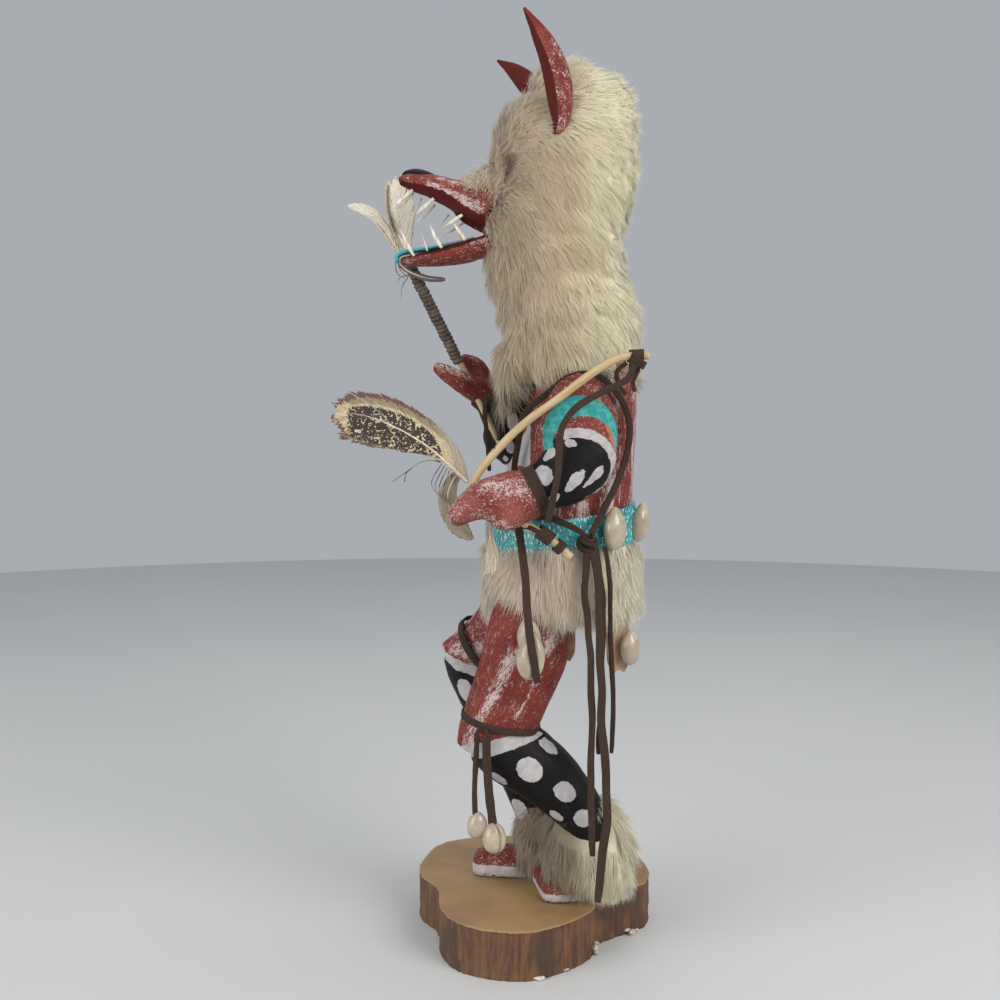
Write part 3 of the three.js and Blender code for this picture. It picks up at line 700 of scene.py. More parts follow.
RIGHT_HAND = [(-20, 22.5, 248, 7, 7.5), (-26, 18, 250, 6, 6.5), (-34, 11.5, 254.3, 4.6, 4),
              (-41, 9.5, 258.4, 3.7, 3.4), (-45, 9, 260.6, 2, 2.4)]
RIGHT_PALM = [(-21, 24, 252, 5, 5), (-26, 24.5, 259.5, 5.5, 4.5), (-31, 24.5, 263.4, 4, 4),
              (-34, 24, 264.5, 2.2, 3)]


def ring_area(points, x, z, half_x, half_z):
    """Inside an upright oval seen from the side: positive within."""
    return (1 - np.hypot((points[:, 0] - x) / half_x, (points[:, 2] - z) / half_z)) * min(half_x, half_z)


def arm(*forms, seed):
    bm = bmesh.new()
    for form in forms:
        limb(bm, form)
    return whittled(fused(bm, 1.0), seed=seed)


left_bm = arm(LEFT_ARM, LEFT_HAND, LEFT_GRIP, seed=4)
skin = points_of(left_bm)
x, y, z = skin.T
hand = beyond(skin, (-0.5, -42, 205), (-10, -1, -5))
band_out = ring_area(skin, 17.5, 216, 17.3, 15.8)
band_in = most(ring_area(skin, 17.5, 215.5, 14.2, 12.5), least(14 - x, 227.5 - z), least(21 - x, 214 - z))
armband = least(ring_area(skin, 19, 228.5, 15.9, 16.8), -ring_area(skin, 20.5, 225, 13, 11.8), z - 222.5)
forearm = least(band_in, -hand)
sleeve = least(band_out, -band_in, x - 11, z - 204.5)
LEFT_ARM_SPOTS = [((5.4, -49, 221.3), 4.3, 2.5, (1, 0, 0.3), 0),
                  ((2.4, -52, 213.3), 5.2, 3.9, (0.8, 0, -1), 0),
                  ((14.4, -51, 225.0), 2.8, 1.7, (1, 0, -0.2), 0),
                  ((15.2, -52, 208.6), 7.0, 2.3, (0.6, 0, 0.8), 0.6),
                  ((25.0, -51, 211.0), 6.4, 1.8, (0.73, 0, 0.68), 0.5),
                  ((7.6, -49, 203), 4.5, 2.2, (0.4, 0, 1), 0), ((10, -32, 214), 4.5, 3.2, (1, 0, 0.6), 0),
                  ((20, -32, 210), 4.5, 3, (1, 0, 0.6), 0)]
spots = most(*[oval(skin, at, long, wide, aim, -drop) for at, long, wide, aim, drop in LEFT_ARM_SPOTS])
peg = most(brushed(skin, (26, -45, 248), (30, -50, 237), 3),
           brushed(skin, (30, -50, 237), (35, -45, 222), 3)) - 0.35
tips = most(brushed(skin, (-36, -43, 194), (-24, -43, 209), 6),
            brushed(skin, (-24, -48, 196), (-10, -51, 190), 3),
            brushed(skin, (-20, -50, 209), (-2, -50, 206), 6))
painted("left_arm_block", left_bm, ["left_arm"], (-1, 0, -0.25), 0.46 + 0.26 * tips, drag=0.25,
        rosy=hand, black=forearm, white=most(sleeve, least(spots, forearm - 0.5)), blue=armband,
        bare=least(peg * 4, -band_out))

right_bm = arm(RIGHT_ARM, RIGHT_HAND, RIGHT_PALM, seed=7)
skin = points_of(right_bm)
hand = beyond(skin, (-20.5, 23, 248), (-11, -4, 9))
elbow = -ring_area(skin, -17, 235, 17.3, 21.5)
RIGHT_ARM_SPOTS = [((-20.4, 15, 247.6), 3, 1.4), ((-15, 14, 242.7), 3.4, 3),
                   ((-8.6, 16, 234.7), 4.4, 2.6), ((-9.3, 20, 222.5), 4.4, 2),
                   ((-16.4, 18, 226.3), 4.4, 1.6), ((-13, 22, 214), 3, 1.4), ((-16, 36, 238), 4, 3),
                   ((-6, 42, 232), 4, 3), ((-8, 38, 222), 4, 2.6)]
spots = most(*[oval(skin, at, long, wide) for at, long, wide in RIGHT_ARM_SPOTS])
armband = least(past(skin, (8, 20, 250), (8, 46, 246), (4, 34, 226), (20, 34, 240)),
                past(skin, (15, 20, 252), (15, 46, 248), (11, 34, 228), (0, 34, 240)))
rims = most(brushed(skin, (-28, 9, 256), (-43, 6, 262), 3.5),
            brushed(skin, (-24, 20, 264), (-33, 21, 268), 3))
painted("right_arm_block", right_bm, ["right_arm"], (-1, 0, 0.5), 0.4 + 0.4 * rims, drag=0.55,
        black=least(-elbow, -hand), white=most(least(elbow, 3.6 - elbow, -hand),
                                               least(spots, -elbow - 0.4, -hand)), blue=armband)

# %% [markdown]
# The hood, the kilt and the ankle pieces are rabbit fur. A hair system would be the usual way, but the
# finished piece has to be plain mesh. So a furred piece is made of two things: a pelt, which is a soft lumpy
# skin, and tens of thousands of locks planted on it. One lock is a three-sided cone with one bend, and a
# fine hair is the same cone without it. Every lock is that cone, moved by arithmetic on whole arrays, which
# takes a second where copying in the editor would take minutes. Each lock is shaded as if it faced the way
# the skin under it does, and a little its own way, because thousands of thin cones would glitter otherwise.

# %% One lock, planted many times
def lock_shape(bends=(0.45,)):
    """A unit cone along Z with three sides, cut across at each bend."""
    bm = bmesh.new()
    bmesh.ops.create_cone(bm, cap_ends=False, segments=3, radius1=1, radius2=0.04, depth=1,
                          matrix=Matrix.Translation((0, 0, 0.5)))
    for height in bends:
        everything = bm.verts[:] + bm.edges[:] + bm.faces[:]
        bmesh.ops.bisect_plane(bm, geom=everything, plane_co=(0, 0, height), plane_no=(0, 0, 1))
    tip = [vert for vert in bm.verts if vert.co.z > 0.999]
    bmesh.ops.pointmerge(bm, verts=tip, merge_co=(0, 0, 1))
    corners = np.array([vert.co for vert in bm.verts])
    faces = [[vert.index for vert in face.verts] for face in bm.faces]
    bm.free()
    return corners, faces


LOCK = lock_shape()
HAIR = lock_shape(bends=())


def planted(name, material, shape, centres, aside, upward, coat, replaces=(), facing=None):
    """Places a unit shape many times. centres is where its axis runs, for each copy and corner."""
    corners, faces = shape
    spots = centres + corners[None, :, 0:1] * aside + corners[None, :, 1:2] * upward
    copies = len(spots)
    start = np.arange(copies)[:, None] * len(corners)
    loops = np.concatenate([start + np.array(face)[None, :] for face in faces], axis=1).ravel()
    sizes = np.tile([len(face) for face in faces], copies)
    mesh = bpy.data.meshes.new(name)
    mesh.vertices.add(copies * len(corners))
    mesh.vertices.foreach_set("co", (spots * MM).astype(np.float32).ravel())
    mesh.loops.add(len(loops))
    mesh.loops.foreach_set("vertex_index", loops.astype(np.int32))
    mesh.polygons.add(len(sizes))
    mesh.polygons.foreach_set("loop_start", np.concatenate([[0], np.cumsum(sizes)[:-1]]).astype(np.int32))
    mesh.update(calc_edges=True)
    made = tied(name, mesh, material, replaces)
    if facing is not None:
        mesh.normals_split_custom_set_from_vertices(np.repeat(facing, len(corners), axis=0))
    coat = np.concatenate([coat, np.ones(coat.shape[:2] + (1,))], axis=2)
    store(made, "coat", coat, "FLOAT_COLOR", "color")
    print(f"{name}: {copies} copies, {int((sizes - 2).sum())} triangles")
    return made


print("a lock has", len(LOCK[1]), "faces, a fine hair", len(HAIR[1]))

# %% [markdown]
# The locks need roots. They are scattered over the pelt evenly by area, and each takes the skin's outward
# direction there. Their direction comes from a flow field: the way the fur is combed, bent to lie along the
# skin. Rabbit fur parts into tufts, so every lock is drawn towards the tip of its nearest leader, and each
# leader strays a little from the comb. Roots are darker than tips: partly the underfur's own grey-brown and
# partly painted shade deep in the coat.

# %% Roots, comb and tufts
from mathutils.kdtree import KDTree


def unit(vectors):
    return vectors / np.maximum(np.linalg.norm(vectors, axis=-1, keepdims=True), 1e-9)


def scattered(bm, count, rng):
    """Even random points on a skin, in millimetres, with its outward direction at each."""
    bm.normal_update()
    triangles = bm.calc_loop_triangles()
    corners = np.array([[loop.vert.co for loop in triangle] for triangle in triangles]) / MM
    outward = np.array([[loop.vert.normal for loop in triangle] for triangle in triangles])
    area = np.linalg.norm(np.cross(corners[:, 1] - corners[:, 0], corners[:, 2] - corners[:, 0]), axis=1)
    picks = rng.choice(len(triangles), count, p=area / area.sum())
    a, b = rng.random(count), rng.random(count)
    flip = a + b > 1
    a[flip], b[flip] = 1 - a[flip], 1 - b[flip]
    shares = np.stack([1 - a - b, a, b], axis=1)[:, :, None]
    return (corners[picks] * shares).sum(1), unit((outward[picks] * shares).sum(1))


def swirl(points, size, seed):
    """A soft random direction that changes over about size millimetres."""
    return np.array([noise.noise_vector(Vector(p) / size + Vector((seed, seed * 2.3, 0))) for p in points])


def locks(name, shape, skin_points, skin_out, comb, length, lift, width, colours, rng, tuft=16, pull=0.5,
          sag=0.35, stray=0.3):
    """Plants one coat of locks and returns the piece."""
    count = len(skin_points)
    leaders = rng.choice(count, max(2, count // tuft), replace=False)
    tree = KDTree(len(leaders))
    for i, leader in enumerate(leaders):
        tree.insert(skin_points[leader], i)
    tree.balance()
    mine = np.array([tree.find(point)[1] for point in skin_points])
    wander = rng.normal(0, stray * 0.6, (len(leaders), 3))[mine] + rng.normal(0, stray * 0.45, (count, 3))
    comb = comb + wander
    comb = unit(comb - (comb * skin_out).sum(1, keepdims=True) * skin_out)
    lift = np.clip(lift + rng.normal(0, 0.05, len(leaders))[mine] + rng.normal(0, 0.09, count), 0.08,
                   1.4)[:, None]
    way = comb * np.cos(lift) + skin_out * np.sin(lift)
    long = (length * rng.uniform(0.72, 1.15, count))[:, None]
    droop = (comb * 0.35 - skin_out * np.sin(lift) * sag + np.array([0, 0, -0.12])) * long
    tips = skin_points + way * long + droop
    drawn = (tips[leaders][mine] - tips) * pull * rng.uniform(0.5, 1, (count, 1))
    t = shape[0][:, 2][None, :, None]
    centres = (skin_points - skin_out * 0.6)[:, None] + (way * long)[:, None] * t
    centres = centres + droop[:, None] * t**2 + drawn[:, None] * t**2
    aside = unit(np.cross(way, skin_out) + rng.normal(0, 0.5, (count, 3)))
    upward = unit(np.cross(way, aside))
    wide = (width * rng.uniform(0.7, 1.3, count))[:, None]
    # Each lock fades from its root colour to its tip colour; the darker root is partly painted shade deep in
    # the coat.
    root, tip = colours
    tone = 1 + rng.normal(0, 0.02, len(leaders))[mine] + rng.normal(0, 0.035, count)
    blend = np.clip(t * 1.6, 0, 1)
    coat = (root[:, None] * (1 - blend) + tip[:, None] * blend) * np.clip(tone, 0.6, 1.3)[:, None, None]
    facing = unit(skin_out + way * 0.15 + rng.normal(0, 0.06, (count, 3)))
    return planted(name, FUR, shape, centres, (aside * wide)[:, None], (upward * wide)[:, None],
                   np.clip(coat, 0, 1), facing=facing)


def shade(*parts):
    """Blends screen colours: pairs of a colour and its share for each lock."""
    total = sum(share for _, share in parts)
    return sum(np.array(tint(*colour)[:3])[None, :] * (share / total)[:, None] for colour, share in parts)


def fur_finish(name, is_pelt=False):
    """Fur takes its colour from the coat kept on the mesh. The pelt underneath has a fine combed bump."""
    recipe = Recipe(name, roughness=0.9, Sheen_Weight=0.5, Sheen_Roughness=0.45, Specular_IOR_Level=0.15)
    coat = recipe.stored("coat", "Color")
    fine = recipe.grain(900, recipe.stretch(recipe.place, (1, 1, 0.25)), detail=4)
    colour = recipe.fade(fine, 0.45, 0.75, coat, (150, 130, 104), 0.12)
    recipe.give(Base_Color=colour)
    if is_pelt:
        recipe.give(Normal=recipe.bump(fine, 0.8, 0.9))
    return recipe.material


FUR = fur_finish("rabbit fur")
PELT = fur_finish("fur pelt", is_pelt=True)
print("fur recipes:", FUR.name, "and", PELT.name)

# %% [markdown]
# The hood is a sleeve of fur pulled over the wolf's head, with a longer tuft hanging in front of the chest
# and a cuff over the root of the muzzle. Its pelt is the outline of the hood made a few millimetres slimmer,
# so that the locks fill it out again. It is lumpy, because the dried skin behind the fur has buckled. The
# back and crown are cream, the front a greyer beige, and each eye is a small dark parting. The comb runs
# outwards from the root of the muzzle and then down.

# %% The hood's pelt
HOOD = [(17.5, 0, 257, 33, 30), (18, 0, 275, 34.5, 33), (12.5, 0, 299, 34.5, 33.5),
        (9.5, 0, 322, 35.5, 33.5), (12.6, 0, 346, 36.8, 34), (16.6, 0, 362, 36, 32.5),
        (17.5, 0, 377, 31, 28), (15.5, 0, 389, 19, 19), (16, 0, 395, 7, 8)]
BEARD = [(-2, -7, 276, 14, 17), (-7, -8, 267, 12, 14), (-11, -7.5, 258, 9.5, 11), (-13, -7, 250, 7, 8),
         (-13, -7, 245, 2, 3)]
SNOUT = [(-6, 0, 338.5, 17, 18.5), (-17, 0, 338, 14.5, 17.5), (-24, 0, 338.5, 12, 15.5),
         (-28.5, 0, 339, 6.5, 9)]
MUZZLE_ROOT = (-22, 0, 328)
MOUTH_Z = 321.5


def slimmer(stations, by, least_half=1.5):
    return [(x, y, z, max(least_half, deep - by), max(least_half, wide - by))
            for x, y, z, deep, wide in stations]


def pelt(name, forms, by, voxel, lumps, size, seed, replaces, coat, trims=(), buckled=None):
    """A lumpy skin inside the fur, buckled behind an X. Returns a bmesh of it for planting."""
    bm = bmesh.new()
    for form in forms:
        limb(bm, slimmer(form, by), sides=32, pace=3)
    for at, normal in trims:
        trimmed(bm, at, normal)
    bm = fused(bm, voxel, smoothing=2)
    whittled(bm, depth=lumps, size=size, seed=seed)
    if buckled is not None:
        for vert in bm.verts:
            share = min(1, max(0, (vert.co.x / MM - buckled) / 14))
            fold = noise.noise(vert.co / (9 * MM) + Vector((0, 0, 5)))
            vert.co += vert.normal * (0.5 - abs(fold) * 4.5) * share * MM
    kept = bm.copy()
    made = piece(name, bm, PELT, replaces)
    colours = coat(points_of(kept))
    store(made, "coat", np.concatenate([colours, np.ones((len(colours), 1))], axis=1), "FLOAT_COLOR",
          "color")
    return kept


def hood_shares(points):
    """How much of each lock's colour is cream, beige and grey."""
    x, y, z = points.T
    patch = np.array([noise.noise(Vector(p) / 20) + 0.5 * noise.noise(Vector(p) / 8) for p in points])
    back = x + 10 * patch + np.clip((z - 335) / 8, 0, 5)
    cream = np.clip((back - 13) / 16, 0.02, 1)
    grey = np.clip((9 - back) / 16, 0.02, 1)
    return cream, 1.04 - np.clip(cream + grey, 0, 1), grey, eye_slits(points)


def eye_slits(points):
    """The two small dark openings where the eyes show through the fur."""
    x, y, z = points.T
    off = np.hypot((x + 13) / 2.2, (z - 345) / 5.5) + np.clip((9 - np.abs(y)) / 4, 0, 9)
    return 3.4 * np.clip(1.35 - off, 0, 1)


def hood_tips(points):
    cream, beige, grey, eye = hood_shares(points)
    return shade(((250, 242, 208), cream), ((230, 213, 180), beige), ((226, 205, 174), grey),
                 ((96, 72, 70), eye))


# Root colours: partly the underfur's own grey-brown, partly painted shade deep in the coat.
def hood_shaded_roots(points):
    cream, beige, grey, eye = hood_shares(points)
    return shade(((244, 232, 192), cream), ((216, 196, 162), beige), ((184, 165, 140), grey),
                 ((60, 46, 46), eye))


HOOD_SLACK = 5.5
# The pelt is halfway between root and tip colours, darker than the tips: painted shade under the hairs.
hood_skin = pelt("hood_pelt", [HOOD, BEARD, SNOUT], HOOD_SLACK, 2.0, 2.4, 13, 3, ["fur_hood"],
                 lambda p: hood_shaded_roots(p) * 0.5 + hood_tips(p) * 0.5, buckled=20)

# %% [markdown]
# Two coats are planted on the hood, a short dense undercoat of fine hairs and a longer one of guard hair
# over it. They stand well up from the skin, which gives the soft look of rabbit. Extra wisps lie forward on
# the root of the muzzle, and others hang in points along the lower edge.

# %% The hood's fur
def hood_comb(points, outward):
    away = points - np.array(MUZZLE_ROOT)
    reach = np.linalg.norm(away, axis=1, keepdims=True)
    near = np.exp(-reach / 26)
    crown = np.clip((points[:, 2:3] - 345) / 40, 0, 1)
    hang = np.array([[0.4, 0, -1]]) * (1 - crown) + np.array([[1.1, 0, 0.15]]) * crown
    return away / reach * 2.6 * near + hang * (1 - near) + 0.45 * swirl(points, 24, 11)


def keep(mask, *arrays):
    return [array[mask] for array in arrays]


def hood_coat(name, shape, count, length, lift, width, tuft, pull, seed):
    rng = np.random.default_rng(seed)
    points, outward = scattered(hood_skin, count, rng)
    in_mouth = (points[:, 0] < -20.5) & (np.abs(points[:, 1]) < 17) & (np.abs(points[:, 2] - MOUTH_Z) < 7.5)
    points, outward = keep(~in_mouth, points, outward)
    x, y, z = points.T
    face = np.exp(-np.linalg.norm(points - np.array(MUZZLE_ROOT), axis=1) / 16)
    hem = np.clip((268 - z) / 14, 0, 1)
    behind = np.clip((x - 24) / 12, 0, 1)
    crown = np.clip((z - 350) / 40, 0, 1)
    long = length * (1 - 0.25 * face + 0.3 * hem) * (1 - 0.25 * behind) * (1 - 0.2 * crown)
    up = lift + 0.45 * face + 0.2 * np.clip((z - 370) / 20, 0, 1) - 0.15 * hem
    tips, roots = hood_tips(points), hood_shaded_roots(points)
    locks(name, shape, points, outward, hood_comb(points, outward), long, up, width, (roots, tips), rng,
          tuft, pull)


hood_coat("hood_underfur", HAIR, 52000, 7.6, 0.75, 0.22, 24, 0.1, 21)
hood_coat("hood_guard_hair", HAIR, 56000, 9.8, 0.6, 0.16, 16, 0.12, 22)
rng = np.random.default_rng(23)
points, outward = scattered(hood_skin, 26000, rng)
from_root = np.linalg.norm(points - np.array(MUZZLE_ROOT), axis=1)
snout = np.exp(-((from_root - 14) / 8) ** 2) * (points[:, 2] > 331)
fringe = np.clip((264 - points[:, 2]) / 12, 0, 1) * (points[:, 0] < 22)
points, outward, snout, fringe = keep(rng.random(len(points)) < 2.2 * snout + fringe, points, outward,
                                      snout, fringe)
forward = hood_comb(points, outward) + snout[:, None] * (-2.5, 0, 0.1)
locks("hood_wisps", LOCK, points, outward, forward, 12 + 5 * fringe - 3 * snout, 0.35 + 0.4 * snout, 0.18,
      (hood_shaded_roots(points), hood_tips(points)), rng, tuft=14, pull=0.6, stray=0.5)

# %% [markdown]
# The kilt is a strip of the same fur wrapped round the hips under the belt. It hangs straight down and
# puffs out. In front it is pinkish grey-beige and behind it is cream, with a few dark wisps at the front.

# %% The kilt
WAIST_LEAN = 0.06
KILT = [(HIP_X - (z - 182) * WAIST_LEAN, 0, z, deep, wide)
        for z, deep, wide in ((147, 34, 33), (151, 38, 37), (160, 39, 38), (169, 38.5, 37.3),
                              (176, 38, 36.2), (183, 36, 34), (186, 32, 30))]


def kilt_tips(points):
    x, y, z = points.T
    patch = np.array([noise.noise(Vector(p) / 16) for p in points])
    cream = np.clip((x - 20) / 18 + 0.4 * patch, 0.03, 1)
    dark = np.clip((-12 - x) / 8, 0, 1) * np.clip((166 - z) / 10, 0, 1) * np.clip(patch + 0.35, 0, 1) * 1.6
    return shade(((250, 241, 212), cream), ((236, 217, 196), 1.03 - cream), ((96, 86, 78), dark))


# The kilt's roots are its tips darkened: painted shade deep in the coat.
def kilt_shaded_roots(points):
    return kilt_tips(points) * 0.8


# The kilt's pelt is its tips darkened: painted shade under the hairs.
kilt_skin = pelt("kilt_pelt", [KILT], 4.5, 2.2, 1.6, 12, 5, ["kilt_fur"], lambda p: kilt_tips(p) * 0.8)


def kilt_coat(name, shape, count, length, lift, width, tuft, pull, seed):
    rng = np.random.default_rng(seed)
    points, outward = scattered(kilt_skin, count, rng)
    shown = (points[:, 2] < 183) & (points[:, 2] > 145)
    points, outward = keep(shown, points, outward)
    under = np.clip((151 - points[:, 2]) / 4, 0, 1)
    top = np.clip((points[:, 2] - 173) / 6, 0, 1)
    down = np.array([[0, 0, -1.0]]) + 0.5 * swirl(points, 15, 4) + 0.25 * outward * np.array([1, 1, 0])
    locks(name, shape, points, outward, down, length * (1 - 0.5 * under),
          lift * (1 - 0.5 * under - 0.4 * top), width,
          (kilt_shaded_roots(points), kilt_tips(points)), rng, tuft, pull)


kilt_coat("kilt_underfur", HAIR, 20000, 8.0, 0.65, 0.24, 22, 0.15, 31)
kilt_coat("kilt_guard_hair", HAIR, 23000, 10.0, 0.58, 0.16, 14, 0.15, 32)

# %% [markdown]
# A tuft of long fur is tied round each ankle. The fur stands away from the leg, falls over the moccasin and
# spreads on the slice. None grows on the outer side of the left shin, which stands clear of its tuft. Left,
# the tuft is grey-brown in front and cream behind.

# %% The ankle furs
LEFT_ANKLE = [(31, -18, 16, 17, 12.5), (29.5, -19, 29, 21.5, 16), (25.5, -20, 41, 25.5, 18),
              (25.5, -19, 53, 24, 16), (27, -17, 62, 20, 12), (28, -15, 67, 13, 8)]
RIGHT_ANKLE = [(6.5, 9, 16, 18, 19), (6.5, 9, 28, 18.5, 19), (5.5, 10, 40, 17.5, 18), (4, 12, 50, 14, 14),
               (2, 14, 58, 9, 9)]
SHIN_TOP = (4, -20, 79)
SHIN_RUN = (23, 0.5, -29)


def on_left_shin(points):
    """Whether each point lies close to the outer side of the left shin."""
    share = np.clip((SHIN_TOP[2] - points[:, 2]) / -SHIN_RUN[2], 0, 1)[:, None]
    away = np.linalg.norm(points - (SHIN_TOP + share * SHIN_RUN), axis=1)
    return (points[:, 1] < -19) & (points[:, 2] > 48.5) & (away < 14)


def ankle_fur(name, form, by, hairs, guard_hairs, length, cream_from, seed):
    """Both coats of one ankle's tuft, cream behind cream_from on X."""
    def tips(points):
        patch = np.array([noise.noise(Vector(p) / 12) for p in points])
        cream = np.clip((points[:, 0] - cream_from) / 20 + 0.5 * patch, 0.03, 1)
        dark = np.clip(-patch, 0, 1) * 0.5 * np.clip((cream_from + 4 - points[:, 0]) / 20, 0, 1)
        return shade(((248, 238, 204), cream), ((164, 147, 125), 1.03 - cream), ((98, 86, 76), dark))

    base = (0, 0, SOLE + 0.6)
    # The pelt is the tips darkened: painted shade under the hairs.
    skin = pelt(name + "_pelt", [form], by, 2.0, 1.5, 9, seed, [name + "_fur"], lambda p: tips(p) * 0.75,
                [(base, (0, 0, -1))])
    for part, number, share, width in (("_underfur", hairs, 0.75, 0.22),
                                       ("_guard_hair", guard_hairs, 1, 0.18)):
        rng = np.random.default_rng(seed + number)
        points, outward = scattered(skin, number, rng)
        points, outward = keep((points[:, 2] > SOLE + 1.5) & ~on_left_shin(points), points, outward)
        level = outward * np.array([1, 1, 0])
        comb = np.array([[0.15, 0, -1.0]]) + 0.55 * level + 0.5 * swirl(points, 10, seed)
        short = np.clip((points[:, 2] - SOLE) / 14, 0.35, 1)
        # The roots are the tips darkened: painted shade deep in the coat.
        locks(name + part, HAIR, points, outward, comb, length * short * share, 0.6, width,
              (tips(points) * 0.72, tips(points)), rng, tuft=16, pull=0.18, sag=0.5)


ankle_fur("left_ankle", LEFT_ANKLE, 7.5, 17000, 13000, 12.5, 18, 41)
ankle_fur("right_ankle", RIGHT_ANKLE, 6.5, 9500, 8000, 11.5, 22, 42)

# %% [markdown]
# The wolf's head is under the hood, and only its open muzzle shows. Each jaw is a tapering block. The roof
# of the mouth is cut flat and then hollowed, and the lower jaw is cut flat on top. The cuts are painted a
# deep plain red, and the outsides are heavily dry-brushed with white.

# %% The muzzle
UPPER_JAW = [(4, 0, 335, 15, 15), (-22, 0, 332, 12.5, 12.5), (-33, 0, 336, 7, 10.5),
             (-45, 0, 340.5, 5.2, 8.5), (-55, 0, 342.5, 3.6, 6.2), (-60, 0, 342.2, 2.2, 4)]
LOWER_JAW = [(4, 0, 318, 8, 14), (-20, 0, 314.5, 5.5, 12), (-31, 0, 311, 4.8, 10),
             (-45, 0, 308.3, 3.4, 7.5), (-55, 0, 307.2, 2.4, 5.2), (-59.5, 0, 307, 1.6, 3.4)]
CRANIUM = [(18, 0, 263, 17, 15), (18, 0, 282, 18, 16), (11, 0, 306, 20, 19), (10, 0, 332, 22, 22),
           (13, 0, 360, 24, 22), (14, 0, 378, 13, 13), (14, 0, 384, 4, 4)]
MOUTH_CORNER = [(4, 0, 326, 14, 13), (-13, 0, 325.5, 13, 12), (-19.5, 0, 324.6, 9, 10.8),
                (-23, 0, 324.2, 4, 7)]
ROOF_CUT = Vector((0.488, 0.11, 0.865)).normalized()
FLOOR_CUT = Vector((0.22, 0, -0.97)).normalized()


def hollowed(bm, normal, rim, depth):
    """Sinks a cut face, leaving a rim round it."""
    cut = [face for face in bm.faces if face.normal.dot(normal) > 0.99 and face.calc_area() > 40 * MM * MM]
    bmesh.ops.inset_region(bm, faces=cut, thickness=rim * MM, depth=0)
    bmesh.ops.translate(bm, verts=list({vert for face in cut for vert in face.verts}),
                        vec=-normal * depth * MM)


def jaw(stations, cut_at, cut_normal, rim, depth):
    bm = bmesh.new()
    limb(bm, stations, sides=40, pace=1.2)
    trimmed(bm, cut_at, cut_normal)
    bm.normal_update()
    hollowed(bm, cut_normal, rim, depth)
    return fused(bm, 0.84, smoothing=1)


head_bm = jaw(UPPER_JAW, (-54.6, -6, 339.6), -ROOF_CUT, 1.2, 2.4)
lower_bm = jaw(LOWER_JAW, (-53, 0, 310.6), -FLOOR_CUT, 1.0, 0.8)
block = bpy.data.meshes.new("lower jaw")
lower_bm.to_mesh(block)
lower_bm.free()
head_bm.from_mesh(block)
bpy.data.meshes.remove(block)
limb(head_bm, MOUTH_CORNER, sides=32, pace=1.5)
limb(head_bm, CRANIUM, sides=24, pace=6)
whittled(head_bm, depth=0.3, size=7, seed=9)
skin = points_of(head_bm)
head_bm.normal_update()
facing = np.array([vert.normal for vert in head_bm.verts])
is_roof = (facing @ np.array(-ROOF_CUT) > 0.55) & (skin[:, 2] > 321)
is_floor = (facing @ np.array(-FLOOR_CUT) > 0.55) & (skin[:, 2] < 322)
is_corner = (skin[:, 0] > -24) & (skin[:, 2] > 316.5) & (skin[:, 2] < 327.5 + 0.5 * (skin[:, 0] + 20))
jaw_strokes = [((-46, -8, 337.5), (-24, -13, 329), 4.5), ((-46, 8, 337.5), (-24, 13, 329), 4.5),
               ((-40, -8, 343), (-26, -10, 340), 3), ((-27, -12, 314), (-21, -13, 316), 2.5),
               ((-27, 12, 314), (-21, 13, 316), 2.5)]
painted("wolf_head", head_bm, ["head"], (-1, 0, 0.2),
        0.47 + 0.42 * most(*[brushed(skin, *s) for s in jaw_strokes]), 0.45,
        deep=np.where(is_roof | is_floor | is_corner | (skin[:, 0] > -14), 1.2, NOWHERE))

# %% [markdown]
# The nose is a black cap glued on the tip. It is half a ball, flattened, and drawn out backwards.

# %% The nose
nose_bm = bmesh.new()
bmesh.ops.create_uvsphere(nose_bm, u_segments=32, v_segments=20, radius=1)
bmesh.ops.bisect_plane(nose_bm, geom=nose_bm.verts[:] + nose_bm.edges[:] + nose_bm.faces[:],
                       plane_co=(0, 0, -0.35), plane_no=(0, 0, -1), clear_outer=True)
bmesh.ops.holes_fill(nose_bm, edges=[edge for edge in nose_bm.edges if edge.is_boundary])
for vert in nose_bm.verts:
    vert.co.y *= 1 - 0.22 * vert.co.x
    vert.co.z *= 1 - 0.25 * vert.co.x
bmesh.ops.scale(nose_bm, verts=nose_bm.verts[:], vec=Vector((8.2, 4.8, 3.4)) * MM)
bmesh.ops.rotate(nose_bm, verts=nose_bm.verts[:], matrix=Matrix.Rotation(math.radians(4), 3, "Y"))
bmesh.ops.translate(nose_bm, verts=nose_bm.verts[:], vec=Vector((-50.5, 0, 344.6)) * MM)
whittled(nose_bm, depth=0.25, size=4, seed=2)
painted("wolf_nose", nose_bm, [], (1, 0, 0), 0.1, black=3)

# %% [markdown]
# The teeth are splinters of bone set in drilled holes, long and thin and all at their own angle. One
# side's teeth are listed and the other side's follow them with a little scatter.

# %% The teeth
NEAR_TEETH = [((-53.6, -4, 338.2), (-63.7, -4.4, 329.3), 1.0),
              ((-44, -7, 333.8), (-51.9, -7.2, 326.6), 0.95),
              ((-31.2, -10.5, 326), (-39.3, -10.8, 320.6), 0.9),
              ((-53, -4, 308.6), (-59.3, -4.2, 320.9), 0.9),
              ((-40.4, -7.6, 312), (-45.6, -8, 322.2), 0.95),
              ((-29.8, -10.5, 315), (-35, -10.6, 322.4), 1.0)]


def bone():
    recipe = Recipe("bone splinter", roughness=0.45, Subsurface_Weight=0.15)
    recipe.shader.inputs["Subsurface Scale"].default_value = 0.6 * MM
    streaks = recipe.grain(700, recipe.stretch(recipe.place, (1, 1, 0.25)), detail=4)
    colour = recipe.fade(streaks, 0.35, 0.7, (232, 224, 212), (196, 180, 162))
    recipe.give(Base_Color=colour, Normal=recipe.bump(streaks, 0.15, 0.6))
    return recipe.material


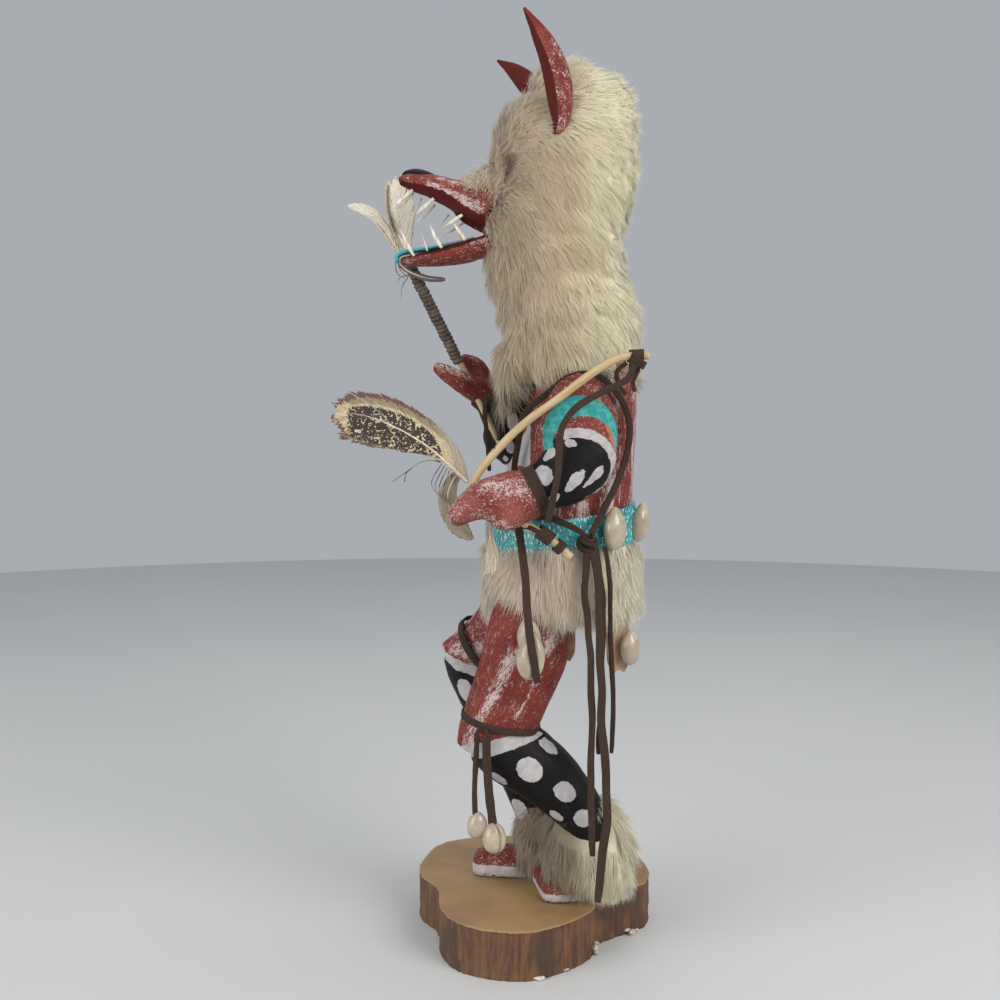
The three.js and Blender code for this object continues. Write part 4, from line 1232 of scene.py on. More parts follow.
teeth_bm = bmesh.new()
rng = np.random.default_rng(5)
for root, tip, half in NEAR_TEETH:
    for side in (1, -1):
        shift = rng.normal(0, 0.5, 3) * (side < 0)
        ends = [np.array(end) * (1, side, 1) + shift * (0.4 if end is root else 1.6) for end in (root, tip)]
        middle = ends[0] * 0.45 + ends[1] * 0.55 + rng.normal(0, 0.25, 3)
        thick = half * (1 if side > 0 else 0.75)
        stations = [(*ends[0], 0.75 * thick, 0.55 * thick), (*middle, thick, 0.6 * thick),
                    (*ends[1], 0.12, 0.12)]
        loft(teeth_bm, smooth_through(stations, 9), 7)
for root, tip in (((-50, 3.5, 336), (-55.5, 4, 326)), ((-56.5, 1.5, 340), (-61, 2, 331)),
                  ((-47, -5.4, 311), (-49.5, -5, 319)), ((-36, 8, 312.5), (-41, 7, 321)),
                  ((-47, 6, 310.5), (-51, 6.4, 318)), ((-38, 9, 329.5), (-43.5, 9, 323))):
    loft(teeth_bm, smooth_through([(*root, 0.5, 0.4), (*tip, 0.1, 0.1)], 6), 6)
piece("wolf_teeth", teeth_bm, bone())

# %% [markdown]
# The tongue is a strip of leather painted turquoise. It lies in the lower jaw and droops over the lip. Its
# back, deep in the mouth, is turned grey as painted shade.

# %% The tongue
TONGUE = [(-60.8, 0, 306.6, 0.9, 2.0), (-60.9, 0, 309.4, 1.2, 2.8), (-57, 0, 311.2, 1.1, 3.6),
          (-46, 0, 312.6, 1.0, 5.2), (-36, 0, 314.6, 1.0, 5.6), (-26, 0, 317, 0.8, 5.2)]


def tongue_paint():
    recipe = Recipe("tongue paint", roughness=0.4, Coat_Weight=0.3, Coat_Roughness=0.3)
    wear = recipe.grain(240, detail=5, roughness=0.65)
    fine = recipe.grain(1400, detail=3)
    colour = recipe.fade(wear, 0.35, 0.6, (30, 138, 146), (66, 168, 170))
    colour = recipe.fade(wear, 0.56, 0.66, colour, (132, 140, 144), 0.55)
    # Towards the back of the mouth the turquoise is turned grey: painted shade.
    from_tip = recipe.add("SeparateXYZ", recipe.place).outputs[0]
    back = recipe.step(recipe.sum(from_tip, recipe.times(wear, 0.012)), -0.040, -0.024)
    colour = recipe.mix(back, colour, (150, 156, 158))
    recipe.give(Base_Color=colour, Normal=recipe.bump(fine, 0.12, 0.7))
    return recipe.material


tongue_bm = bmesh.new()
rows = smooth_through(TONGUE, 40)
loft(tongue_bm, rows, 16)
whittled(tongue_bm, depth=0.2, size=4, seed=6)
piece("tongue_strip", tongue_bm, tongue_paint(), ["tongue"])

# %% [markdown]
# The ears are separate leaves of wood, glued on over the fur. Each has a flat outer face and a bevel along
# its front edge. The flats are made by pressing every ring's corners back to a plane in the ring's own
# directions, so that they follow the ear as it curves. The bevel is painted deep red, and the inner side,
# which faces the head, is given the same deep red as painted shade.

# %% The ears
EAR_LEFT = [(9.5, -29.5, 356.5, 1.6, 1.5), (11, -30, 364, 4.6, 3), (10, -30.5, 376, 6.3, 3.4),
            (6.5, -30.5, 388.5, 5.6, 3), (1, -30, 400, 3.4, 2.2), (-4.4, -29.5, 409, 0.6, 0.6)]
EAR_RIGHT = [(13, 29.5, 362, 1.6, 1.5), (12.5, 30, 370, 5.2, 3), (8.5, 30.5, 381, 7.4, 3.4),
             (1, 30.5, 391.3, 6.8, 3), (-7.5, 30, 399.5, 4.4, 2.2), (-15.7, 29.5, 405, 0.6, 0.6)]


def pressed(rings, rows, angle, depth):
    """Flattens each ring where it passes depth (a share of its radius) in a direction of its own."""
    flat = []
    way = Vector((math.cos(angle), math.sin(angle), 0))
    for ring, frame_here in zip(rings, ring_frames(rows)):
        back = frame_here.inverted()
        for vert in ring:
            spot = back @ vert.co
            extra = spot.dot(way) - depth
            if extra > 0:
                vert.co = frame_here @ (spot - way * extra)
                flat.append(vert)
    return flat


def ear(name, stations, outer, replaces):
    bm = bmesh.new()
    rows = smooth_through(stations, 46)
    rings = loft(bm, rows, 44)
    bm.verts.index_update()
    pressed(rings, rows, outer * math.radians(90), 0.62)
    bevel = {vert.index for vert in pressed(rings, rows, outer * math.radians(26), 0.5)}
    whittled(bm, depth=0.22, size=6, seed=8)
    skin = points_of(bm)
    is_bevel = np.array([vert.index in bevel for vert in bm.verts])
    bm.normal_update()
    # The inner side, which faces the head, gets the deep red as painted shade.
    inner_side_shade = np.array([vert.normal.y * outer < -0.1 for vert in bm.verts]) & (skin[:, 2] > 368)
    dry = 0.5 - 0.3 * np.clip((skin[:, 2] - 394) / 12, 0, 1)
    made = painted(name, bm, replaces, (-0.25, 0, 1), dry, 0.35,
                   deep=np.where(is_bevel | inner_side_shade, 1.0, -1.0))
    return made


ear("left_ear_leaf", EAR_LEFT, -1, ["left_ear"])
ear("right_ear_leaf", EAR_RIGHT, 1, ["right_ear"])

# %% [markdown]
# Eight cowrie shells hang on the doll. A cowrie is an egg with one pointed end, domed on the back and
# flatter in front, where a toothed slit runs from end to end. The ball is reshaped by arithmetic on its own
# corners: the slit is pressed in along one line, with a ripple for the teeth, and coloured dark brown as
# painted shade for the hollow of the shell. Where a shell lies on the belt its slit is hidden, and on the
# laces it is turned half towards the front.

# %% Cowries
def cowrie_finish():
    recipe = Recipe("cowrie shell", roughness=0.22, Coat_Weight=0.4, Coat_Roughness=0.12,
                    Subsurface_Weight=0.1)
    recipe.shader.inputs["Subsurface Scale"].default_value = 1.0 * MM
    cloud = recipe.grain(130, detail=3)
    colour = recipe.fade(cloud, 0.35, 0.7, (190, 177, 151), (166, 150, 126))
    colour = recipe.fade(recipe.grain(60), 0.5, 0.66, colour, (176, 160, 152), 0.6)
    # The slit's dark brown is painted shade for the hollow inside the shell.
    slit = recipe.step(recipe.stored("slit"), 0.35, 0.9)
    colour = recipe.mix(slit, colour, (104, 76, 56))
    recipe.give(Base_Color=colour, Normal=recipe.bump(recipe.grain(900, detail=2), 0.04, 0.4))
    return recipe.material


COWRIE = cowrie_finish()


def cowrie(name, centre, length, facing, lean=0.0, slit_turn=math.pi, point=0.42, roll=0.0, plump=0.29):
    bm = bmesh.new()
    bmesh.ops.create_uvsphere(bm, u_segments=40, v_segments=28, radius=1)
    depths = []
    for vert in bm.verts:
        x, y, z = vert.co
        around = math.atan2(y, x)
        off = (around - slit_turn + math.pi) % (2 * math.pi) - math.pi
        reach = math.hypot(x, y)
        groove = math.exp(-((off * reach) / 0.11) ** 2) * min(1, reach * 1.6)
        teeth = 0.5 + 0.5 * math.cos(z * 34)
        lips = math.exp(-((abs(off * reach) - 0.24) / 0.13) ** 2) * teeth
        slim = 1 - point * max(0, z) ** 1.6 - 0.04 * max(0, -z)
        blunt = math.sqrt(max(0, 1 - abs(z) ** 2.7)) / max(reach, 0.05)
        swell = (1 - 0.34 * groove - 0.05 * lips) * min(1.35, blunt)
        vert.co = Vector((x * slim * swell, y * slim * swell, z * (1 - 0.06 * groove)))
        depths.append(groove)
    turn = Matrix.Rotation(facing, 4, "Z") @ Matrix.Rotation(lean, 4, "Y") @ Matrix.Rotation(roll, 4, "X")
    size = Matrix.Diagonal((length * plump * 0.8, length * plump, length * 0.5, 1))
    place = Matrix.Translation(Vector(centre) * MM) @ turn @ Matrix.Scale(MM, 4) @ size
    bmesh.ops.transform(bm, verts=bm.verts[:], matrix=place)
    made = piece(name + "_shell", bm, COWRIE, [name])
    store(made, "slit", depths)
    return made


cowrie("belt_cowrie_1", (35.2, -29.8, 188.4), 19, -0.9)
cowrie("belt_cowrie_2", (48.2, -12, 189.8), 18, -0.25, 0.15)
cowrie("belt_cowrie_3", (36, 29.6, 189), 19, 0.9)
cowrie("flap_cowrie", (43.4, -19.2, 134.5), 16, -1.07, slit_turn=0.5)
kilt_shells = [cowrie("kilt_cowrie_1", (-2.2, -40.5, 143), 17, -1.57, slit_turn=0.6, roll=0.1, plump=0.3),
               cowrie("kilt_cowrie_2", (-1.4, -43.6, 135), 20, -1.57, slit_turn=0.35, roll=-0.08,
                      plump=0.3)]
cowrie("knee_cowrie_1", (-24.4, -38, 60.4), 12, -1.57, slit_turn=2.6, roll=-0.1, point=0.3, plump=0.36)
cowrie("knee_cowrie_2", (-17.0, -39.5, 55.4), 13.6, -1.57, slit_turn=0.7, roll=0.05, point=0.25, plump=0.38)

# %% [markdown]
# The rest of the suede is tied on. The kilt lace is looped on the wrist and hangs down over the kilt with
# two shells, a bandolier goes round the shoulder and the back to the knot at the hip, and the bow's string
# is a slack lace. The two knee laces are short plain strips.

# %% The other laces
KNEE_LACES = ([(-24.2, -35.6, 99), (-25, -37.5, 88), (-25.6, -38, 76), (-25.2, -38, 64.5)],
              [(-20.4, -37.8, 99), (-20, -39, 86), (-18.9, -39.5, 73), (-17.6, -39.5, 60.5)])
WRIST_LACE_SHORT = [(-17.5, 11, 244), (-16.5, 8, 239), (-15, 8, 232), (-14.5, 8.5, 226)]
BOW_STRING = [(41, -51, 258), (37, -53, 251.5), (26, -55, 246), (17, -56, 240.5), (11.5, -56, 233),
              (10, -56, 226), (9.5, -56, 214), (7.5, -54.5, 203), (5.5, -51, 193)]
BANDOLIER = [(24.4, -36.4, 186.5), (27.8, -34, 192.5), (32, -30.5, 200), (37, -27, 210), (41, -24.5, 222),
             (42, -23, 234), (37, -24.5, 246), (27, -27.8, 254.5), (16, -28.3, 254), (6, -26, 247),
             (-3.5, -19.5, 238), (-6.5, -17.5, 226), (-8, -22, 210), (-3, -28.5, 199), (8, -33.5, 193),
             (15.5, -35.4, 190), (21.6, -36.6, 186.5)]

lace("kilt_lace", KILT_LACE, 3.4, 40, seed=21, wave=0.4, lay="hanging", far_end="bare",
     with_pieces=kilt_shells)
lace("bow_string", BOW_STRING, 2.8, 60, seed=22, wave=0.5, lay="loose", far_end="object")
lace("bandolier", BANDOLIER, 2.8, 110, seed=23, wave=0.4, lay="loose", far_end="object")
for i, (route, width) in enumerate(zip(KNEE_LACES, (2.2, 3.7))):
    lace(f"knee_lace_{i + 1}", route, width, 24, seed=25 + i, wave=0.3)
lace("wrist_lace_2", WRIST_LACE_SHORT, 2.0, 20, seed=28, wave=0.2)

# %% [markdown]
# The ties are laces wound round a limb. A winding is a helix round the limb's line at that place, pressed
# to the limb's own oval.

# %% Windings
def winding(middle, direction, deep, wide, half_tall, turns, points_a_turn=26, start=0.0, seed=0):
    """A route of turns round an oval, climbing from -half_tall to half_tall."""
    along = Vector(direction).normalized()
    aside = (ACROSS - along * along.dot(ACROSS)).normalized()
    inward = along.cross(aside)
    route = []
    count = int(turns * points_a_turn) + 1
    for i in range(count):
        share = i / (count - 1)
        angle = start + share * turns * 2 * math.pi
        jolt = 0.25 * noise.noise((angle * 0.8, seed * 4.1, 0))
        place = Vector(middle) + along * (half_tall * (2 * share - 1) + jolt)
        place += inward * math.cos(angle) * deep + aside * math.sin(angle) * wide
        route.append(tuple(place))
    return route, along


def tie(name, windings, replaces, width=2.4, thick=1.1, tails=()):
    """One piece made of windings and short tails."""
    bm = bmesh.new()
    for i, (route, along) in enumerate(windings):
        strip(bm, route, width, thick, len(route), seed=i, turn=0, twist=0.15, wave=0, across=along)
    for i, tail in enumerate(tails):
        strip(bm, tail, width * 0.9, thick, 16, seed=30 + i, turn=math.pi / 2, wave=0.2)
    return soft_corners(piece(name, bm, LACE_SUEDE, replaces), 0.2)


left_knee = winding((-14.2, -20, 102), (-3.4, 1.1, -18), 17.4, 15.3, 1.0, 2.05, start=1.2, seed=1)
right_knee = winding((-22.6, 18, 128.6), (-12, 5.5, -9.5), 15.3, 15.4, 1.0, 2.05, start=0.4, seed=2)
left_wrist = winding((0.5, -42, 205.3), (-10, -1, -5), 10.4, 10.0, 2.0, 3.1, start=2, seed=3)
right_wrist = winding((-20.5, 23.2, 248), (-11, -4, 9), 8.4, 8.7, 1.6, 3.1, start=1, seed=4)
KNEE_TAILS = [[(-23, -33.5, 102), (-24.5, -35.5, 100), (-25, -36, 96)],
              [(-21, -35, 101.5), (-20, -37.5, 100), (-20, -38, 95)],
              [(2.6, -24, 99), (5, -22, 96), (4.5, -19, 90), (3, -16, 84)]]
tie("left_knee_lace_ring", [left_knee], ["left_knee_tie"], width=2.0, tails=KNEE_TAILS)
tie("right_knee_lace_ring", [right_knee], ["right_knee_tie"], width=2.2)
tie("left_wrist_binding", [left_wrist], ["left_wrist_wrap"], width=2.6)
tie("right_wrist_binding", [right_wrist], ["right_wrist_wrap"], width=2.2)

# %% [markdown]
# The knot at the hip is two hitches pulled tight: one winding upright and one across, crossed by a short
# bight.

# %% The hip knot
def curl(centre, radius, tilt, spin, turns=1.0, rise=0.0, count=20):
    """A loop of lace round a centre, tipped and spun."""
    turn = Matrix.Rotation(spin, 3, "Z") @ Matrix.Rotation(tilt, 3, "X")
    loop = []
    for i in range(count):
        angle = turns * 2 * math.pi * i / (count - 1)
        spot = Vector((math.cos(angle) * radius, math.sin(angle) * radius, rise * (i / (count - 1) - 0.5)))
        loop.append(tuple(Vector(centre) + turn @ spot))
    return loop


knot_bm = bmesh.new()
KNOT_LOOPS = [(3.5, 1.3, 0.2, 2.4, 0), (3.1, 0.5, 1.1, 1.6, 0.6), (3.3, 1.0, 2.3, 1.0, -0.8),
              (2.4, 0.2, 0.4, 2.0, 1.2)]
for i, (radius, tilt, spin, rise, shift) in enumerate(KNOT_LOOPS):
    loop = curl((HIP_KNOT[0], HIP_KNOT[1], HIP_KNOT[2] + shift), radius, tilt, spin, 1.1, rise)
    strip(knot_bm, loop, 2.8, 1.4, 26, seed=i, turn=0.3, wave=0)
knot_place = Matrix.Translation(Vector(HIP_KNOT) * MM)
bmesh.ops.create_icosphere(knot_bm, subdivisions=3, radius=2.5 * MM, matrix=knot_place)
soft_corners(piece("hip_knot_suede", knot_bm, LACE_SUEDE, ["hip_knot"]), 0.2)

# %% [markdown]
# The belt is a glossy turquoise strap printed with fine upright flecks of white and dark. It is one band
# bent round the waist whose loose end overlaps on the left at the back. The flecks are noise stretched
# upright, and the paint over them is shiny.

# %% The belt
BELT_TALL = 16.5


def belt_finish():
    recipe = Recipe("turquoise strap", roughness=0.3, Coat_Weight=0.35, Coat_Roughness=0.2)
    wriggle = recipe.add("VectorMath", recipe.place, operation="ADD")
    sway = recipe.add("CombineXYZ", recipe.times(recipe.grain(700, detail=1), 0.0022), 0.0, 0.0).outputs[0]
    recipe.put(wriggle.inputs[1], sway)
    upright = recipe.stretch(wriggle.outputs[0], (1, 1, 0.3))
    white = recipe.step(recipe.grain(1500, upright, detail=1.5), 0.57, 0.63)
    shift = recipe.add("VectorMath", upright, (0.31, 0.17, 0.05), operation="ADD").outputs[0]
    dark = recipe.step(recipe.grain(1400, shift, detail=1.5), 0.58, 0.64)
    base = recipe.fade(recipe.grain(60), 0.35, 0.65, (28, 144, 152), (54, 170, 168))
    colour = recipe.mix(recipe.times(dark, 0.85), base, (18, 72, 86))
    colour = recipe.mix(white, colour, (214, 228, 226))
    recipe.give(Base_Color=colour, Normal=recipe.bump(recipe.sum(white, dark), 0.12, 0.5))
    return recipe.material


belt_rows = []
for i in range(150):
    angle = math.radians(-32 + 372 * i / 149)
    lap = max(0, (i - 140) / 9)
    out = 33.6 + 0.4 * math.sin(3 * angle) + 2.6 * lap
    z = 185.4 + 1.2 * math.sin(2 * angle + 1) + 0.11 * 33 * math.cos(angle) + 1.5 * lap
    belt_rows.append((HIP_X + out * math.cos(angle), (out - 3.2) * math.sin(angle), z, 0.75,
                      BELT_TALL / 2 * (1 - 0.08 * lap)))
belt_bm = bmesh.new()
square = [(x, y, z, deep * math.sqrt(2), wide * math.sqrt(2)) for x, y, z, deep, wide in belt_rows]
loft(belt_bm, square, 4, corner=math.pi / 4, across=Vector((0, 0, 1)))
long_edges = [edge for edge in belt_bm.edges if abs((edge.verts[0].co - edge.verts[1].co).z) > 8 * MM]
bmesh.ops.subdivide_edges(belt_bm, edges=long_edges, cuts=7, use_grid_fill=True)
whittled(belt_bm, depth=0.35, size=12, seed=12)
belt = piece("belt_strap", belt_bm, belt_finish(), ["belt"])
soft_corners(belt, 0.35, 3)

# %% [markdown]
# Two tabs of tan suede hang from under the kilt. A tab is cut from a sheet 1.6 mm thick, rounded below,
# and curls a little. Each starts as a grid, its lower corners are drawn in, and it is bent and then given
# its thickness.

# %% The tabs
def tab(name, at, turn, wide, tall, curl_out, replaces):
    bm = bmesh.new()
    bmesh.ops.create_grid(bm, x_segments=14, y_segments=26, size=0.5)
    for vert in bm.verts:
        u, v = vert.co.x, vert.co.y + 0.5
        narrow = 1 - 0.55 * max(0, 1 - v / 0.28) ** 2.2
        bow_out = curl_out * (1 - v) ** 2 + 0.8 * (u * 2) ** 2
        vert.co = Vector((u * wide * narrow, -bow_out, (v - 1) * tall - 0.9 * (u * 2) ** 2 * (1 - v))) * MM
    bm.normal_update()
    bmesh.ops.solidify(bm, geom=bm.faces[:], thickness=1.6 * MM)
    bmesh.ops.rotate(bm, verts=bm.verts[:], matrix=Matrix.Rotation(turn, 3, "Z"))
    bmesh.ops.translate(bm, verts=bm.verts[:], vec=Vector(at) * MM)
    made = piece(name, bm, TAB_SUEDE, replaces)
    made.data.attributes.new("rim", "FLOAT", "POINT")
    return soft_corners(made, 0.3)


tab("rear_tab", (38, -16, 149), 0.5, 11, 25, 1.5, ["rear_flap"])
tab("side_tab", (15.5, 9, 146), 0.0, 10, 22, 0.8, ["side_flap"])

# %% [markdown]
# The bow is a peeled willow twig bent into a long curve, with its ends bound in lace. It runs from behind
# the left shoulder, down through the hand and back to the belt. The rattle stick in the right hand is the
# same wood, tightly wound with dark waxed cord for half its length.

# %% Peeled wood
def peeled_wood():
    recipe = Recipe("peeled willow", roughness=0.5, Coat_Weight=0.15, Coat_Roughness=0.35)
    flow = recipe.stored("flow", "Vector")
    streaks = recipe.grain(900, flow, detail=5, roughness=0.6)
    stains = recipe.grain(120, flow, detail=3)
    colour = recipe.fade(streaks, 0.35, 0.7, (202, 178, 136), (180, 152, 110))
    colour = recipe.fade(stains, 0.55, 0.72, colour, (166, 128, 88), 0.4)
    colour = recipe.fade(recipe.grain(330, detail=2), 0.70, 0.74, colour, (98, 66, 42))
    recipe.give(Base_Color=colour, Normal=recipe.bump(streaks, 0.14, 0.7))
    return recipe.material


PEELED = peeled_wood()


def twig(name, route, half, replaces, count, seed):
    bm = bmesh.new()
    rows = smooth_through([(*at, half, half) for at in route], count)
    knots = 1 + 0.07 * np.array([noise.noise((r / 9, seed, 0)) for r in run_of(rows)])
    rows[:, 3:] *= knots[:, None]
    rings = loft(bm, rows, 16)
    run = run_of(rows)
    flow = []
    for ring, along in zip(rings, run):
        flow += [(math.cos(i / 16 * 2 * math.pi) * half, math.sin(i / 16 * 2 * math.pi) * half,
                  along * 0.12)
                 for i in range(len(ring))]
    whittled(bm, depth=0.12, size=5, seed=seed)
    made = piece(name, bm, PEELED, replaces)
    store(made, "flow", np.array(flow) * MM, "FLOAT_VECTOR", "vector")


BOW = [(47.5, -46, 262), (41, -46.5, 261.8), (33.5, -47.3, 260.2), (23, -48.3, 254.1), (11.3, -49, 245.2),
       (-2, -48.6, 235.6), (-11, -47.5, 227.6), (-17.8, -46, 220.2), (-23.5, -43.5, 213),
       (-26, -40.5, 206), (-21, -40, 199.5), (-6, -42.5, 192.5), (6, -45, 185.5), (15.5, -45, 177.5)]
STAFF_TOP = Vector((-59, 14, 312.5))
STAFF_TAIL = Vector((-15.5, 16, 226.5))
twig("bow_twig", BOW, 1.7, ["bow"], 150, 3)
twig("rattle_stick", [STAFF_TOP, STAFF_TOP.lerp(STAFF_TAIL, 0.5) + Vector((0.4, 0, 0.3)), STAFF_TAIL], 1.5,
     ["rattle_staff"], 60, 4)

# %% [markdown]
# Both ends of the bow are bound with lace.

# %% Bow bindings
end_windings = [winding((42.3, -46.5, 261.4), (1, 0, 0.05), 2.6, 2.6, 2.2, 3.2, 14, seed=5),
                winding((42.5, -47, 259.4), (0.5, -0.2, 0.9), 3.4, 2.8, 1.4, 2.2, 14, seed=6)]
END_TAILS = [[(40, -48, 260), (39.5, -50, 256), (40.5, -50.5, 252)],
             [(42, -47, 260), (43, -45, 256), (41, -44, 251), (42, -43, 247)],
             [(38, -47, 259), (34, -46, 255), (35, -44, 250), (38.5, -40, 246)],
             [(41, -46, 262), (43.5, -44, 263.5), (42, -42, 260)]]
foot_windings = [winding((10.5, -45, 181.9), (8, -0.2, -6.6), 2.5, 2.5, 1.6, 2.3, 14, seed=7),
                 winding((4.5, -45, 186.8), (9, -0.5, -6.6), 2.7, 2.7, 3.2, 4.2, 14, seed=8)]
FOOT_TAIL = [(2, -47.5, 188), (-2, -45, 190), (-6, -40, 190)]
tie("bow_end_binding", end_windings, [], 2.0, 1.0, END_TAILS)
tie("bow_foot_binding", foot_windings, [], 2.2, 1.1, [FOOT_TAIL])

# %% [markdown]
# The cord round the rattle stick is wound side by side. Its turns are uneven and a few overlap, so each
# turn's height and swell are jogged by noise.

# %% The staff's winding
def waxed_cord():
    recipe = Recipe("waxed cord", roughness=0.55, Specular_IOR_Level=0.4)
    fibre = recipe.grain(1900, recipe.stretch(recipe.place, (0.5, 0.5, 1)), detail=3)
    blotch = recipe.grain(180)
    colour = recipe.fade(blotch, 0.35, 0.65, (66, 56, 49), (104, 91, 79))
    colour = recipe.fade(fibre, 0.5, 0.72, colour, (136, 122, 108), 0.5)
    recipe.give(Base_Color=colour, Normal=recipe.bump(fibre, 0.14, 0.8))
    return recipe.material


CORD_TURNS = 26
staff_along = (STAFF_TAIL - STAFF_TOP).normalized()
staff_wide = (ACROSS - staff_along * staff_along.dot(ACROSS)).normalized()
staff_deep = staff_along.cross(staff_wide)
cord_rows = []
for i in range(CORD_TURNS * 14 + 1):
    share = i / (CORD_TURNS * 14)
    angle = share * CORD_TURNS * 2 * math.pi
    swell = 2.15 + 0.55 * noise.noise((share * 40, 3, 0)) - 0.4 * max(0, share - 0.93) / 0.07
    place = STAFF_TOP.lerp(STAFF_TAIL, 0.05 + 0.53 * share + 0.008 * noise.noise((share * 50, 9, 0)))
    place = place + staff_deep * math.cos(angle) * swell + staff_wide * math.sin(angle) * swell
    cord_rows.append((*place, 0.7, 1.05 + 0.3 * noise.noise((share * 24, 1, 7))))
cord_bm = bmesh.new()
loft(cord_bm, cord_rows, 7, across=staff_along)
core = [(*STAFF_TOP.lerp(STAFF_TAIL, share), 2.25, 2.25) for share in (0.045, 0.2, 0.4, 0.585)]
loft(cord_bm, smooth_through(core, 12), 12)
piece("staff_winding", cord_bm, waxed_cord(), ["staff_wrap"])

# %% [markdown]
# A feather is a shaft with rows of barbs. A flat card with a picture would do from afar, but here every
# barb is made, because the gaps between them and their frayed ends are what tell a feather. A barb is the
# same kind of cone as a lock, with more bends and less taper, laid flat. It leaves the shaft at an angle
# that closes towards the tip. Barbs in a group keep together, and a gap opens where two groups part.

# %% Barbs and shafts
def barb_shape(bends, slim):
    """A lock whose width falls evenly to slim before it ends in a point."""
    corners, faces = lock_shape(bends)
    for corner in corners:
        reach = np.hypot(corner[0], corner[1])
        if 0.01 < corner[2] < 0.99:
            corner[:2] *= (1 - (1 - slim) * corner[2]) / reach
    return corners, faces


BARB = barb_shape((0.1, 0.2, 0.3, 0.4, 0.5, 0.6, 0.7, 0.8, 0.94), 0.7)
PLAIN_BARB = barb_shape((0.15, 0.35, 0.55, 0.75, 0.92), 0.7)


def feather_finish(name, gloss):
    recipe = Recipe(name, roughness=gloss, Sheen_Weight=0.2)
    coat = recipe.stored("coat", "Color")
    fine = recipe.grain(1600, detail=2)
    recipe.give(Base_Color=recipe.fade(fine, 0.45, 0.7, coat, (90, 76, 62), 0.18))
    return recipe.material


VANE = feather_finish("feather vane", 0.6)


def shaft_finish():
    recipe = Recipe("feather shaft", roughness=0.4)
    run = recipe.grain(300, detail=3)
    recipe.give(Base_Color=recipe.fade(run, 0.35, 0.65, (232, 214, 196), (204, 180, 158)))
    return recipe.material


SHAFT = shaft_finish()


def feather(name, replaces, shaft, widths, tones, angles=(48, 26), count=110, face=(0, -1, 0),
            fray=6.0,
            uneven=0.03, shaft_half=0.45, half=0.3, shape=PLAIN_BARB, finish=VANE, seed=0):
    """A vane of barbs on a shaft. widths holds (share along, first width, second width) in millimetres."""
    rng = np.random.default_rng(seed)
    rows = smooth_through(shaft, 80)
    run = run_of(rows)
    face = np.array(face, float)
    table = np.array(widths, float)

    def on_shaft(distance):
        return np.stack([np.interp(distance, run, column) for column in rows[:, :3].T], axis=-1)

    t = shape[0][:, 2][None, :]
    halves = []
    for side, column in ((1, 1), (-1, 2)):
        share = np.sort(rng.uniform(table[0, 0], table[-1, 0], count))
        group = np.cumsum(rng.random(count) < 0.1)
        part = rng.normal(0, math.radians(fray), group.max() + 1)[group]
        part = part + rng.normal(0, math.radians(0.8), count)
        angle = np.clip(np.interp(share, [0, 1], np.radians(angles)) + part, 0.14, 1.4)
        wide = np.interp(share, table[:, 0], table[:, column]) * rng.normal(1, uneven, count)
        ahead = (wide / np.tan(angle))[:, None]
        distance = share[:, None] * run[-1] + ahead * t
        inside = np.clip(distance, 0.6, run[-1] - 0.6)
        tangent = unit(on_shaft(inside + 0.6) - on_shaft(inside - 0.6))
        aside = unit(np.cross(tangent, face)) * side
        out = unit(face + aside * rng.normal(0, 0.05, (count, 1, 1)))
        spread = (wide[:, None] * t**0.9)[..., None]
        past_tip = np.clip(distance - run[-1], 0, None)[..., None]
        centres = on_shaft(np.clip(distance, 0, run[-1])) + tangent * past_tip
        centres = centres + aside * spread + out * (rng.uniform(-0.12, 0.12, (count, 1, 1)) - 0.05 * spread)
        way = unit(tangent * ahead[..., None] + aside * wide[:, None, None])
        flat = unit(np.cross(out, way)) * half
        halves.append((centres, flat, out * 0.1, np.full((count, 1), side), share[:, None]))
    centres, flat, out, side, share = (np.concatenate(pair) for pair in zip(*halves))
    planted(name, finish, shape, centres, flat, out, tones(share, t, side, centres, rng), replaces)
    quill_bm = bmesh.new()
    taper = shaft_half * (1 - 0.8 * np.linspace(0, 1, len(rows)) ** 1.3)
    loft(quill_bm, np.column_stack([rows[:, :3], taper, taper]), 7)
    return piece(name + "_shaft", quill_bm, SHAFT)


def screen(*colours):
    return [np.array(tint(*colour)[:3]) for colour in colours]


def blend(under, over, share):
    return under * (1 - share[..., None]) + over * share[..., None]


print("a barb has", len(BARB[1]), "faces")

# %% [markdown]
# The long feather in the left hand is a barred one, brown at the tip and the upper edge, then cream, with a
# dark heart mottled in cream. Its base is soft and grey.

# %% The barred feather
def barred_masks(share, t, side, spots, rng):
    """Red is one in the dark heart and minus one in the olive band, green the brown edge, blue the down."""
    share, t, side = np.broadcast_arrays(share, t, side)
    on_top = side > 0
    x = spots[..., 0]
    body = np.clip((share - 0.2) / 0.08, 0, 1) * np.clip((x + 82) / 6, 0, 1)
    heart = np.clip((np.where(on_top, 0.56, 0.93) - t) / 0.1, -1, 1)
    heart = np.where(heart > 0, heart * body, heart * on_top * np.clip((x + 84) / 8, 0.2, 1))
    edge = np.where(on_top, np.clip((t - 0.74) / 0.14, 0, 1), np.clip((t - 0.9) / 0.05, 0, 1))
    edge = np.maximum(edge * np.clip((share - 0.12) / 0.1, 0, 1), np.clip((-84.5 - x) / 2, 0, 1))
    down = np.clip((0.2 - share) / 0.14, 0, 1)
    return np.stack([heart, edge, down], axis=-1)


